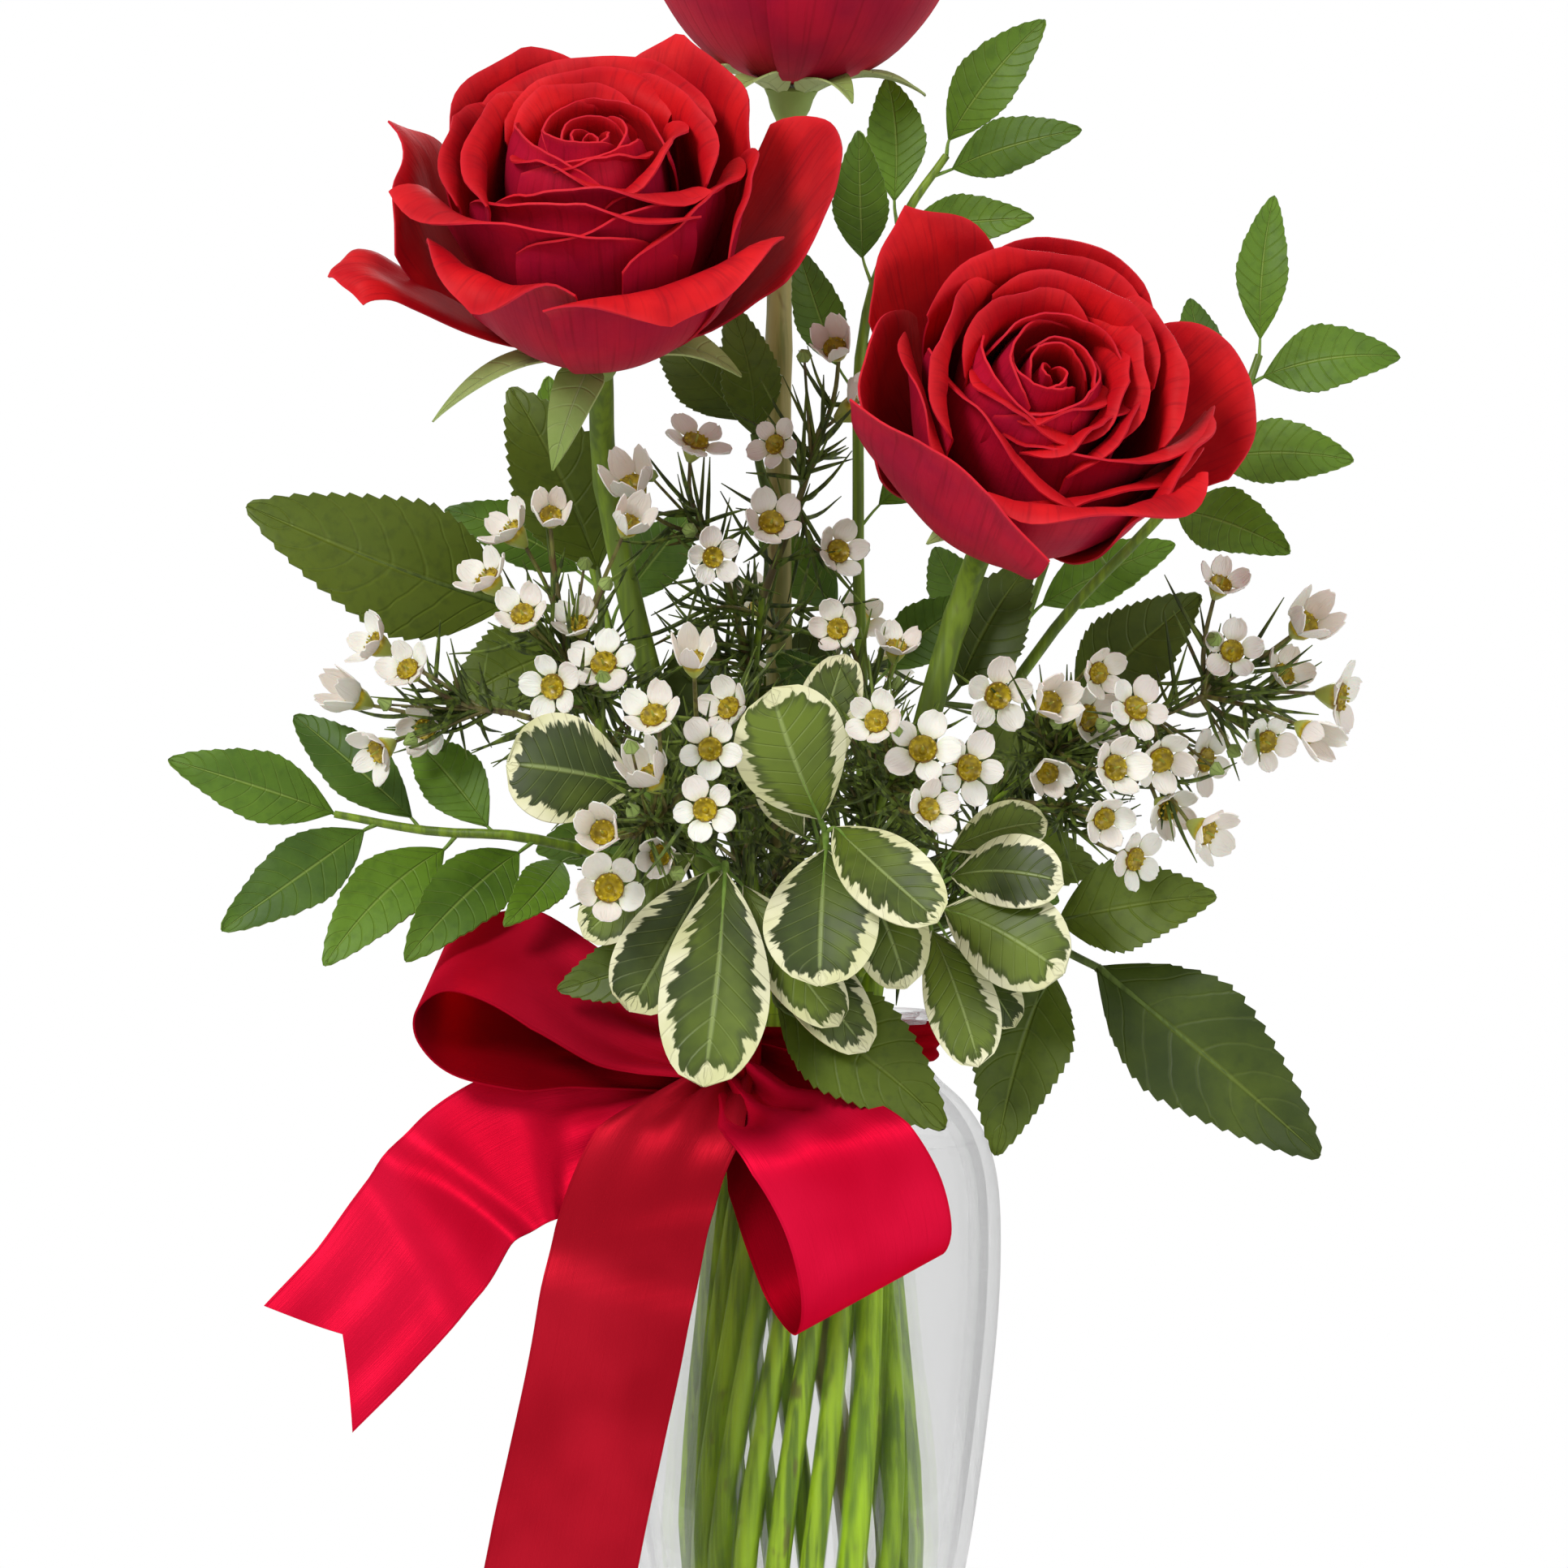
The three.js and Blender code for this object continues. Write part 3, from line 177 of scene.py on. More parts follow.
# Sprays and sprigs: their slot in the neck, their path above it, and leaves (root on the stem, start of the
# blade, tip, width).
LEAFY = {
    "leafy_spray_top": dict(
        slot=129,
        path=((13, 10.5, 195), (14, 14, 250), (13, 14, 310), (15, 14, 350), (24, 20, 373), (33.5, 22, 387)),
        leaves=(
            ((33.5, 22, 387), (34.2, 24, 391), (56.2, 18, 418), 15),
            ((30, 21.5, 382), (35, 22, 384), (64.3, 10, 391.8), 14),
            ((20, 18, 366), (25, 19, 370), (53.1, 4, 371), 13),
            ((16, 15.5, 357), (14, 15, 363), (13, 4, 391), 13),
            ((22, 19, 371), (21.5, 25, 377), (20, 33, 406), 14),
            ((14, 14, 340), (18, 12, 347), (31, 2, 352), 11),
            ((13.4, 14, 330), (8, 10, 338), (-1, 2, 364), 12),
            ((13, 14, 300), (18, 16, 306), (38, 18, 322), 12),
            ((14, 14, 262), (20, 12, 268), (40, 8, 284), 14),
            ((13.6, 14, 275), (8, 27, 282), (-10, 31, 300), 14),
            ((14, 14, 250), (8, 12, 256), (-6, 10, 272), 13),
        ),
    ),
    "leafy_spray_right": dict(
        slot=110,
        path=((16, 6, 195), (32, 11, 235), (58, 9, 277), (82, 5, 303), (98, 7, 322), (105, 9, 340)),
        leaves=(
            ((105, 9, 340), (105.3, 10, 344), (108.8, 14, 377), 12),
            ((102.5, 8.4, 333), (106, 8, 335), (136.5, 0, 339), 16),
            ((92, 6, 314), (95, 6, 316), (125.4, -6, 315), 16),
            ((82, 5, 303), (86, 4, 304), (110.5, -12, 294), 16),
            ((96, 7, 320), (95, 12, 329), (90, 24, 354), 11),
            ((70, 7, 291), (66, 12, 298), (52, 22, 320), 13),
            ((48, 10, 261), (46, 15, 268), (36, 30, 290), 13),
        ),
    ),
    "leafy_spray_left": dict(
        slot=-105,
        path=((-16, 3, 195), (-35, -1, 219), (-60, -17, 229), (-85, -16, 231), (-105.6, -16, 234.7)),
        leaves=(
            ((-104, -16, 234.3), (-106, -16, 235), (-142.6, -22, 247), 16),
            ((-96, -16, 232.5), (-99, -18, 231), (-129.9, -30, 208.7), 17),
            ((-78, -16.3, 230), (-81, -18, 226.6), (-106.5, -36, 201), 17),
            ((-60, -17, 229), (-64, -20, 226), (-88.2, -42, 202.3), 17),
            ((-86, -16, 231), (-88.5, -14, 234), (-115.5, -6, 257), 15),
            ((-68, -17, 229.5), (-71.2, -14, 232), (-89, -2, 252), 15),
            ((-50, -10.6, 225), (-54, -26, 224), (-66, -46, 210), 11),
        ),
    ),
    "leafy_spray_back_left": dict(
        slot=-143,
        path=((-10, 14, 195), (-26, 34, 230), (-42, 48, 268), (-52, 54, 302)),
        leaves=(
            ((-52, 54, 302), (-53, 54.5, 305), (-60, 56, 338), 14),
            ((-48, 51.5, 288), (-53, 52, 292), (-84, 48, 306), 15),
            ((-45, 50, 278), (-43, 54, 284), (-26, 68, 306), 15),
            ((-38, 45, 258), (-43, 45, 262), (-76, 42, 268), 16),
            ((-31, 39, 242), (-30, 44, 248), (-14, 62, 266), 15),
            ((-24, 31, 226), (-29, 31, 228), (-62, 36, 226), 16),
        ),
    ),
    "leafy_spray_back_right": dict(
        slot=148,
        path=((9, 14.5, 195), (26, 34, 228), (46, 50, 262), (58, 56, 294)),
        leaves=(
            ((58, 56, 294), (59, 56.5, 297), (68, 56, 330), 14),
            ((53, 54, 280), (57, 54, 284), (88, 48, 298), 15),
            ((49, 51.5, 268), (46, 56, 274), (32, 70, 298), 15),
            ((38, 44, 248), (43, 44, 250), (78, 40, 254), 16),
            ((31, 38, 236), (29, 43, 240), (14, 62, 252), 15),
            ((24, 31, 222), (29, 31, 223), (60, 34, 214), 16),
        ),
    ),
}
SALAL = dict(
    slot=-8,
    path=((-2.2, -17, 195), (-4, -32, 200), (-6, -46, 197)),
    leaves=(
        ((-6, -45, 197), (-5.2, -52, 192.5), (31.2, -60, 166), 25),
        ((-4, -34, 200), (-22, -47, 206), (-54, -50, 196), 18),
    ),
)
PITTOSPORUM = {
    "pittosporum_centre": dict(
        slot=9,
        path=((2.6, -17, 195), (3, -34, 212), (4, -52, 226), (5, -62, 231)),
        leaves=(
            ((5, -62, 231), (3.7, -66, 234), (-6.9, -78, 262), 25),
            ((5, -62, 231), (7, -66, 232), (29, -90, 212), 18),
            ((5, -62, 231), (5, -67, 227), (3.5, -84, 198), 25),
            ((4.5, -57, 228.5), (10, -60, 225), (22.4, -71, 197), 17),
            ((4, -54, 227), (2, -56, 236), (9.5, -56, 270), 14),
            ((4.5, -57, 228.5), (0, -58, 230), (-9, -60, 243), 9),
        ),
    ),
    "pittosporum_left": dict(
        slot=-40,
        path=((-10.5, -12.5, 195), (-14, -28, 208), (-17, -46, 219), (-17, -58, 224)),
        leaves=(
            ((-17, -58, 224), (-17, -62, 222), (-21.5, -78, 176), 24),
            ((-17, -57, 223.5), (-21, -60, 222), (-38, -66, 192), 20),
            ((-16.7, -54, 222.5), (-13, -57, 219), (8, -68, 189), 15),
            ((-16.7, -50, 221), (-10, -51, 213), (14, -62, 183), 16),
            ((-16.8, -52, 221.5), (-37, -52, 241), (-65, -56, 246), 26),
            ((-17, -55, 223), (-24, -55, 226), (-48, -60, 208), 15),
        ),
    ),
    "pittosporum_right": dict(
        slot=45,
        path=((11.6, -12, 195), (18, -26, 206), (26, -40, 215), (30, -47, 219)),
        leaves=(
            ((30, -47, 219), (33, -46, 227), (54, -52, 233), 12),
            ((30, -47, 219), (33, -50, 221), (57, -64, 220), 17),
            ((30, -47, 219), (31.5, -52, 214), (56.9, -66, 200), 22),
            ((28.5, -44.5, 217.5), (28.5, -52, 209), (38.5, -66, 180), 16),
            ((27, -42, 216), (34, -42, 205), (47, -50, 188), 11),
        ),
    ),
}
# Waxflower: the main stem's path, its branches, the way that its flowers face, and the middle of each flower.
WAXFLOWER = {
    "waxflower_left": dict(
        slot=-86,
        path=((-17, -1, 195), (-30, -9, 222), (-42, -26, 246), (-48, -31, 262)),
        branches=(((-42, -26, 246), (-60, -25, 256), (-78, -21, 259)), ((-48, -31, 262), (-56, -32, 274))),
        front=(-0.35, -1, 0.25),
        flowers=(
            (-96, -22, 273), (-101, -16, 261), (-88, -32, 267), (-95, -24, 249), (-85, -16, 254),
            (-56, -38, 301), (-65, -28, 298), (-38.6, -40, 299), (-70, -36, 287), (-62, -42, 279),
            (-50, -36, 277), (-44, -44, 268), (-55, -50, 263),
        ),
    ),
    "waxflower_top": dict(
        slot=-124,
        path=((-14, 9, 195), (-12, 9, 235), (-11, 2, 265), (-9, -6, 284)),
        branches=(
            ((-11, 2, 265), (-18, -10, 290), (-24, -16, 303)), ((-9, -6, 284), (-1, -8, 305), (4, -8, 322)),
        ),
        front=(0, -1, 0.5),
        flowers=(
            (-24, -26, 318), (-38, -28, 308), (-6, -18, 318), (-7, -26, 300), (8, -16, 294),
            (7.5, -12, 340), (12, -6, 327), (-20, -36, 292),
        ),
    ),
    "waxflower_front_left": dict(
        slot=-24,
        path=((-7, -16, 195), (-10, -26, 216), (-18, -44, 238), (-25, -60, 248)),
        branches=(((-18, -44, 238), (-32, -62, 234), (-37, -70, 230)),),
        front=(-0.2, -1, 0.2),
        flowers=(
            (-23.5, -82, 268), (-32, -90, 256), (-20, -82, 249), (-33, -76, 243), (-21, -92, 236),
            (-43, -86, 231), (-42, -76, 219), (-31, -66, 226), (-16, -62, 258),
        ),
    ),
    "waxflower_front_right": dict(
        slot=27,
        path=((8, -15.5, 195), (12, -26, 216), (17, -42, 236), (20, -58, 244)),
        branches=(((12, -26, 216), (15, -28, 245), (16, -30, 262)),),
        front=(0.1, -1, 0.2),
        flowers=(
            (15.9, -80, 255), (26, -74, 249), (27, -80, 236), (36, -68, 245), (8, -36, 276), (21, -30, 272),
        ),
    ),
    "waxflower_right": dict(
        slot=91,
        path=((17, 0, 195), (30, -10, 219), (44, -26, 238), (56, -34, 249)),
        branches=(((56, -34, 249), (78, -32, 256), (96, -28, 264)), ((44, -26, 238), (60, -38, 236))),
        front=(0.35, -1, 0.15),
        flowers=(
            (43, -50, 261), (54, -58, 259), (65, -50, 266), (63, -42, 256), (73, -56, 258), (54, -48, 244),
            (68, -64, 245), (66, -58, 234), (73, -50, 225), (79, -48, 247), (81, -40, 236), (89, -48, 231),
            (93.4, -32, 286), (95.5, -38, 271), (112, -32, 277), (108, -24, 266), (120, -30, 261),
            (103, -38, 251), (112, -48, 253), (90, -28, 247),
        ),
    ),
    "waxflower_back": dict(
        slot=167,
        path=((4, 17, 195), (8, 36, 226), (6, 52, 252), (4, 60, 270)),
        branches=(((6, 52, 252), (0, 62, 260)),),
        front=(0, 1, 0.4),
        flowers=(
            (4, 72, 292), (-10, 80, 284), (14, 82, 281), (2, 74, 272), (-12, 84, 266), (12, 82, 262),
            (-2, 88, 255), (20, 74, 270),
        ),
    ),
}
# Each run of the ribbon from the knot: the rows of its sheet, how brightly it is painted as lit, the depth of
# its swallowtail, the points of its middle line, the way across it at each point with the share of its full
# width there, and creases (start, slant, height).
RIBBON_RUNS = {
    "left_loop": dict(
        rows=84,
        lit=0.5,
        points=(
            (-16, -38, 180), (-35, -40, 186), (-44.8, -41.7, 191.5), (-58.7, -41, 200), (-69, -39.7, 203.2),
            (-78, -38.3, 202.5), (-83.2, -36.9, 196.9), (-82.7, -36.3, 191), (-75.2, -36.2, 185.8),
            (-60.2, -35.6, 184.6), (-44.6, -35.2, 183.9), (-17, -37, 179),
        ),
        across=(
            (0.15, 0.4, 0.8, 0.3), (0.1, 0.55, 0.8, 0.62), (0.08, 0.6, 0.78, 0.85), (0.05, 0.72, 0.69, 1),
            (0.05, 0.85, 0.52, 1), (0.05, 0.93, 0.36, 1), (0.1, 0.95, 0.3, 1), (0.1, 0.93, 0.36, 1),
            (0.1, 0.88, 0.46, 1), (0.1, 0.8, 0.6, 1), (0.1, 0.75, 0.65, 0.8), (0.15, 0.4, 0.8, 0.3),
        ),
    ),
    "right_loop": dict(
        rows=84,
        lit=0.9,
        points=(
            (-16, -37, 179), (-7, -42, 171), (-1, -44, 160), (3, -46, 148), (8, -50, 136),
            (14, -58, 129.5), (16, -66, 137), (13, -70, 150), (6, -69, 162), (-2, -60, 168.5),
            (-10, -49, 170), (-16, -41, 177),
        ),
        across=(
            (0.3, 0.2, 0.9, 0.3), (0.75, 0.1, 0.6, 0.75), (0.86, 0.1, 0.5, 1), (0.86, 0.1, 0.5, 1),
            (0.86, 0.1, 0.5, 1), (0.87, 0.1, 0.48, 1), (0.9, 0.03, 0.4, 1), (0.93, 0, 0.34, 1),
            (0.95, 0.04, 0.3, 1), (0.93, 0.15, 0.3, 0.88), (0.8, 0.3, 0.45, 0.55), (0.3, 0.2, 0.9, 0.3),
        ),
    ),
    "left_tail": dict(
        rows=60,
        lit=0.75,
        notch=11,
        points=(
            (-18, -39, 178), (-41, -42, 168), (-60, -45, 162), (-74, -46, 154), (-84, -45, 141),
            (-96, -48, 126), (-109, -51, 112.5),
        ),
        across=(
            (0.1, 0.2, 0.9, 0.3), (-0.1, 0.4, 0.9, 0.8), (-0.45, 0.2, 0.86, 1), (-0.6, 0.3, 0.74, 1),
            (-0.72, 0.15, 0.62, 1), (-0.66, 0.1, 0.72, 0.95), (-0.57, 0.1, 0.8, 0.95),
        ),
        creases=((0.3, 0.06, 1.6), (0.52, -0.05, 2.4), (0.68, 0.05, -1.6)),
    ),
    "front_tail": dict(
        rows=60,
        lit=0.12,
        notch=12,
        points=(
            (-18, -41, 177), (-29, -52, 165), (-37, -53, 146), (-44, -52, 112), (-53, -50, 70),
            (-61, -48, 24),
        ),
        across=(
            (-0.9, -0.1, 0, 0.4), (-0.98, 0.1, 0.05, 0.9), (-0.98, 0.15, -0.12, 1), (-0.98, 0.1, -0.18, 1),
            (-0.98, -0.1, -0.18, 1), (-0.97, -0.15, -0.18, 1),
        ),
        creases=((0.5, 0.035, 2.6), (0.42, -0.02, 0.9), (0.7, -0.05, 1.2)),
    ),
}


# ---------------------------------------------------------------- arithmetic
def mix(a, b, t):
    return a + (b - a) * t


def clamp(value, low=0.0, high=1.0):
    return max(low, min(high, value))


def ease(low, high, value):
    """0 below low, 1 above high and a smooth step between them."""
    t = clamp((value - low) / (high - low))
    return t * t * (3 - 2 * t)


def along(values, t):
    """The value at t, from 0 to 1, on the straight lines through evenly spaced values."""
    place = clamp(t) * (len(values) - 1)
    low = min(int(place), len(values) - 2)
    return mix(values[low], values[low + 1], place - low)


def flowing(points, t):
    """The place at t, from 0 to 1, on the smooth curve through the points."""
    last = len(points) - 1
    k = min(int(clamp(t) * last), last - 1)
    f = clamp(t) * last - k
    a, b = points[k], points[k + 1]
    before = points[k - 1] if k else 2 * a - b
    after = points[k + 2] if k + 2 <= last else 2 * b - a
    bend = (2 * before - 5 * a + 4 * b - after) * f * f + (3 * a - before - 3 * b + after) * f**3
    return a + ((after * 0 + b - before) * f + bend) / 2


def vectors(points):
    return [Vector(p) for p in points]


def spans(points):
    """The straight stretches between points, as pairs of ends."""
    ends = vectors(points)
    return list(zip(ends, ends[1:]))


def any_way(rng):
    """A random place in the cube that reaches from -1 to 1."""
    return Vector([rng.uniform(-1, 1) for _ in range(3)])


def polar(bearing, radius, height):
    return Vector((math.cos(bearing) * radius, math.sin(bearing) * radius, height))


# ---------------------------------------------------------------- making meshes
def select(*pieces):
    """Selects these pieces and nothing else. The first is the active one."""
    if bpy.context.object and bpy.context.object.mode != "OBJECT":
        bpy.ops.object.mode_set(mode="OBJECT")
    bpy.ops.object.select_all(action="DESELECT")
    for piece in pieces:
        piece.select_set(True)
    if pieces:
        bpy.context.view_layer.objects.active = pieces[0]


def formed(across, up, place, tint=0.5):
    """A flat grid bent into shape: place(u, v) is where each point goes, u from -1 to 1 and v from 0 to 1."""
    bpy.ops.mesh.primitive_grid_add(x_subdivisions=across, y_subdivisions=up, size=2, calc_uvs=True)
    sheet = bpy.context.object
    for vertex in sheet.data.vertices:
        vertex.co = place(vertex.co.x, (vertex.co.y + 1) / 2) * MM
    # This attribute holds a random tone on leaves and waxflower petals, the painted light of a ribbon run,
    # and how far a rose petal's painted shade is lessened.
    shade = sheet.data.attributes.new("tint", "FLOAT", "POINT")
    shade.data.foreach_set("value", [tint] * len(sheet.data.vertices))
    return sheet


def copied(pattern, matrix):
    """A copy of a pattern mesh, in millimetres, set in its place."""
    twin = pattern.copy()
    twin.data = pattern.data.copy()
    twin.data.transform(Matrix.Scale(MM, 4) @ matrix)
    bpy.context.collection.objects.link(twin)
    return twin


def joined(name, parts):
    """Several meshes as one piece."""
    select(*parts)
    if len(parts) > 1:
        bpy.ops.object.join()
    parts[0].name = parts[0].data.name = name
    return parts[0]


def thicken(piece, thickness):
    """Gives a sheet its thickness and marks its lower side, the one its faces turn away from."""
    upper = len(piece.data.vertices)
    shell = piece.modifiers.new("thickness", "SOLIDIFY")
    shell.thickness = thickness * MM
    shell.offset = 0
    select(piece)
    bpy.ops.object.modifier_apply(modifier=shell.name)
    lower = len(piece.data.vertices) - upper
    side = piece.data.attributes.new("lower_side", "FLOAT", "POINT")
    side.data.foreach_set("value", [0.0] * upper + [1.0] * lower)
    return piece


def smooth(piece, sharp_angle=60):
    select(piece)
    bpy.ops.object.shade_smooth_by_angle(angle=math.radians(sharp_angle))
    return piece


def stalks(name, lines, roundness):
    """Round stalks as one mesh. Each line is its points and its radii, thick end first."""
    curve = bpy.data.curves.new(name, "CURVE")
    curve.dimensions = "3D"
    curve.bevel_depth = MM
    curve.bevel_resolution = roundness
    curve.use_fill_caps = True
    curve.resolution_u = 4
    for points, radii in lines:
        spline = curve.splines.new("BEZIER")
        spline.bezier_points.add(len(points) - 1)
        for i, knot in enumerate(spline.bezier_points):
            knot.co = Vector(points[i]) * MM
            knot.handle_left_type = knot.handle_right_type = "AUTO"
            knot.radius = along(radii, i / (len(points) - 1))
    piece = bpy.data.objects.new(name, curve)
    bpy.context.collection.objects.link(piece)
    select(piece)
    bpy.ops.object.convert(target="MESH")
    return smooth(bpy.context.object)


def turned(name, profile, steps):
    """A body of revolution: its profile is drawn by extruding a point, then spun round Z and closed."""
    corners = [Vector((radius, 0, height)) * MM for radius, height in profile]
    bpy.ops.mesh.primitive_plane_add(size=MM, location=(0, 0, 0))
    piece = bpy.context.object
    bpy.ops.object.mode_set(mode="EDIT")
    bpy.ops.mesh.select_all(action="SELECT")
    bpy.ops.mesh.merge(type="CENTER")
    bpy.ops.transform.translate(value=corners[0])
    for here, there in zip(corners, corners[1:]):
        bpy.ops.mesh.extrude_region_move(TRANSFORM_OT_translate={"value": there - here})
    bpy.ops.mesh.select_all(action="SELECT")
    bpy.ops.mesh.spin(steps=steps, angle=2 * math.pi, center=(0, 0, 0), axis=(0, 0, 1))
    bpy.ops.mesh.select_all(action="SELECT")
    bpy.ops.mesh.remove_doubles(threshold=0.01 * MM)
    bpy.ops.mesh.normals_make_consistent(inside=False)
    bpy.ops.object.mode_set(mode="OBJECT")
    piece.name = piece.data.name = name
    return smooth(piece, 40)


def part_of_bouquet(piece, node, finish):
    """The piece stands for a solid, rides with it and gets its finish."""
    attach(piece, "root")
    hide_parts(node)
    piece.data.materials.clear()
    piece.data.materials.append(finish)


# ---------------------------------------------------------------- making finishes
def rgb(red, green, blue):
    """A colour as seen on a screen, from 0 to 255, in the linear values that a shader takes."""
    screen = [channel / 255 for channel in (red, green, blue)]
    linear = [c / 12.92 if c <= 0.04045 else ((c + 0.055) / 1.055) ** 2.4 for c in screen]
    return (*linear, 1.0)


class Wire:
    """A value in a material. Arithmetic on it adds the Math nodes."""

    def __init__(self, finish, socket):
        self.finish = finish
        self.socket = socket

    def math(self, operation, *values):
        return self.finish.node("Math", {"operation": operation}, dict(enumerate(values)))

    def __add__(self, other):
        return self.math("ADD", self, other)

    def __radd__(self, other):
        return self.math("ADD", other, self)

    def __sub__(self, other):
        return self.math("SUBTRACT", self, other)

    def __rsub__(self, other):
        return self.math("SUBTRACT", other, self)

    def __mul__(self, other):
        return self.math("MULTIPLY", self, other)

    def __rmul__(self, other):
        return self.math("MULTIPLY", other, self)

    def __pow__(self, other):
        return self.math("POWER", self, other)

    def __abs__(self):
        return self.math("ABSOLUTE", self)

    def zigzag(self):
        """Up and down between 0 and 0.5 as the value grows."""
        return self.math("PINGPONG", self, 0.5)

    def step(self, low, high):
        """0 where the value is below low, 1 where it is above high, smooth between."""
        sockets = {"Value": self, "From Min": low, "From Max": high}
        return self.finish.node("MapRange", {"interpolation_type": "SMOOTHSTEP"}, sockets)


class Finish:
    """A material under way. Constants are set on the shader, and nodes feed what changes over a surface."""

    def __init__(self, name, **constants):
        self.material = bpy.data.materials.new(name)
        self.material.use_nodes = True
        self.tree = self.material.node_tree
        self.shader = self.tree.nodes["Principled BSDF"]
        for socket, value in constants.items():
            self.shader.inputs[socket.replace("_", " ")].default_value = value

    def node(self, kind, settings=None, sockets=None, output=0):
        made = self.tree.nodes.new("ShaderNode" + kind)
        for key, value in (settings or {}).items():
            setattr(made, key, value)
        for key, value in (sockets or {}).items():
            self.feed(made.inputs[key], value)
        return Wire(self, made.outputs[output])

    def feed(self, socket, value):
        if isinstance(value, Wire):
            self.tree.links.new(value.socket, socket)
        else:
            socket.default_value = value

    def mix(self, share, a, b):
        """Colour a where the share is 0 and b where it is 1."""
        return self.node("Mix", {"data_type": "RGBA"}, {0: share, 6: a, 7: b}, 2)

    def sheet(self):
        """A sheet's own map, from 0 to 1 across it and along it."""
        return self.node("UVMap")

    def side(self):
        """From -1 to 1 across a sheet."""
        return self.node("SeparateXYZ", None, {0: self.sheet()}) * 2 - 1

    def ahead(self):
        """From 0 to 1 along a sheet."""
        return self.node("SeparateXYZ", None, {0: self.sheet()}, 1)

    def place(self):
        """The object's own coordinates, in metres."""
        return self.node("TexCoord", None, None, 3)

    def attribute(self, name):
        return self.node("Attribute", {"attribute_name": name}, None, 2)

    def noise(self, scale, detail=2.0, stretch=(1, 1, 1), on=None):
        """Cloudy noise on the object's own coordinates, or on others."""
        moved = self.node("Mapping", None, {"Vector": on or self.place(), "Scale": stretch})
        return self.node("TexNoise", None, {"Vector": moved, "Scale": scale, "Detail": detail})

    def done(self, colour, roughness=None, bump=None, bump_height=0.2):
        """Joins the wires to the shader. The bump's height is in millimetres."""
        self.feed(self.shader.inputs["Base Color"], colour)
        if roughness is not None:
            self.feed(self.shader.inputs["Roughness"], roughness)
        if bump is not None:
            raised = self.node("Bump", None, {"Height": bump, "Distance": bump_height * MM})
            self.feed(self.shader.inputs["Normal"], raised)
        return self.material


def petal_finish():
    """Velvety red petal with painted shade towards its claw and a painted highlight at its lip, with fine
    veins and a cooler back.
    """
    sheen = dict(Sheen_Weight=0.06, Sheen_Roughness=0.4, Sheen_Tint=rgb(255, 90, 110))
    f = Finish("velvet_rose_petal", Specular_IOR_Level=0.15, **sheen)
    ahead, opened, lower = f.ahead(), f.attribute("tint"), f.attribute("lower_side")
    veins = f.noise(1.0, 3.0, (44, 2.0, 1), f.sheet())
    cloud = f.noise(70, 3.0)
    # Painted shade deep in the rose: darker towards the claw on both sides, and weaker on the more open
    # petals.
    deep = 1 - ahead.step(0.1, 0.8)
    upper = f.mix(cloud.step(0.35, 0.7), rgb(188, 6, 22), rgb(218, 22, 28))
    upper = f.mix(deep * (1 - 0.5 * opened), upper, rgb(74, 0, 9))
    under = f.mix(cloud.step(0.3, 0.7), rgb(170, 12, 52), rgb(196, 18, 52))
    under = f.mix(deep * (1 - opened), under, rgb(84, 2, 14))
    colour = f.mix(lower, upper, under)
    colour = f.mix(veins.step(0.5, 0.72) * 0.34, colour, rgb(112, 2, 20))
    # Painted highlight along each petal's lip.
    colour = f.mix(ahead.step(0.88, 1.0) * 0.4, colour, rgb(230, 44, 56))
    bump = veins * 0.6 + f.noise(900, 2.0) * 0.4
    return f.done(colour, 0.5 + 0.2 * veins, bump, 0.12)


def satin_finish():
    """Satin ribbon: a close thread along the ribbon, a bright sheen, a woven edge, and painted light and
    shade that differ from run to run and on the lower side.
    """
    sheen = dict(Sheen_Weight=0.04, Sheen_Roughness=0.3, Sheen_Tint=rgb(255, 60, 140))
    f = Finish("red_satin", Metallic=0.42, Specular_IOR_Level=0.0, Specular_Tint=rgb(255, 50, 110), **sheen)
    side, lit, lower = f.side(), f.attribute("tint"), f.attribute("lower_side")
    threads = f.noise(1.0, 2.0, (260, 6, 1), f.sheet())
    cloud = f.noise(30, 2.0)
    # Painted light and shade: each run's red lies between a painted shaded red and a painted lit red, by how
    # lit it is.
    dull = f.mix(cloud.step(0.3, 0.7), rgb(150, 18, 30), rgb(178, 26, 40))
    base = f.mix(lit, dull, f.mix(cloud.step(0.3, 0.7), rgb(206, 8, 46), rgb(234, 20, 64)))
    # Painted shade on the sheet's lower side, which is the inside of the loops.
    base = f.mix(lower * 0.85, base, rgb(122, 0, 8))
    edge = abs(side).step(0.955, 0.975)
    colour = f.mix(threads.step(0.5, 0.8) * 0.2 + edge * 0.2, base, rgb(146, 4, 26))
    return f.done(colour, 0.4 + 0.1 * threads, threads + edge * 0.8, 0.05)


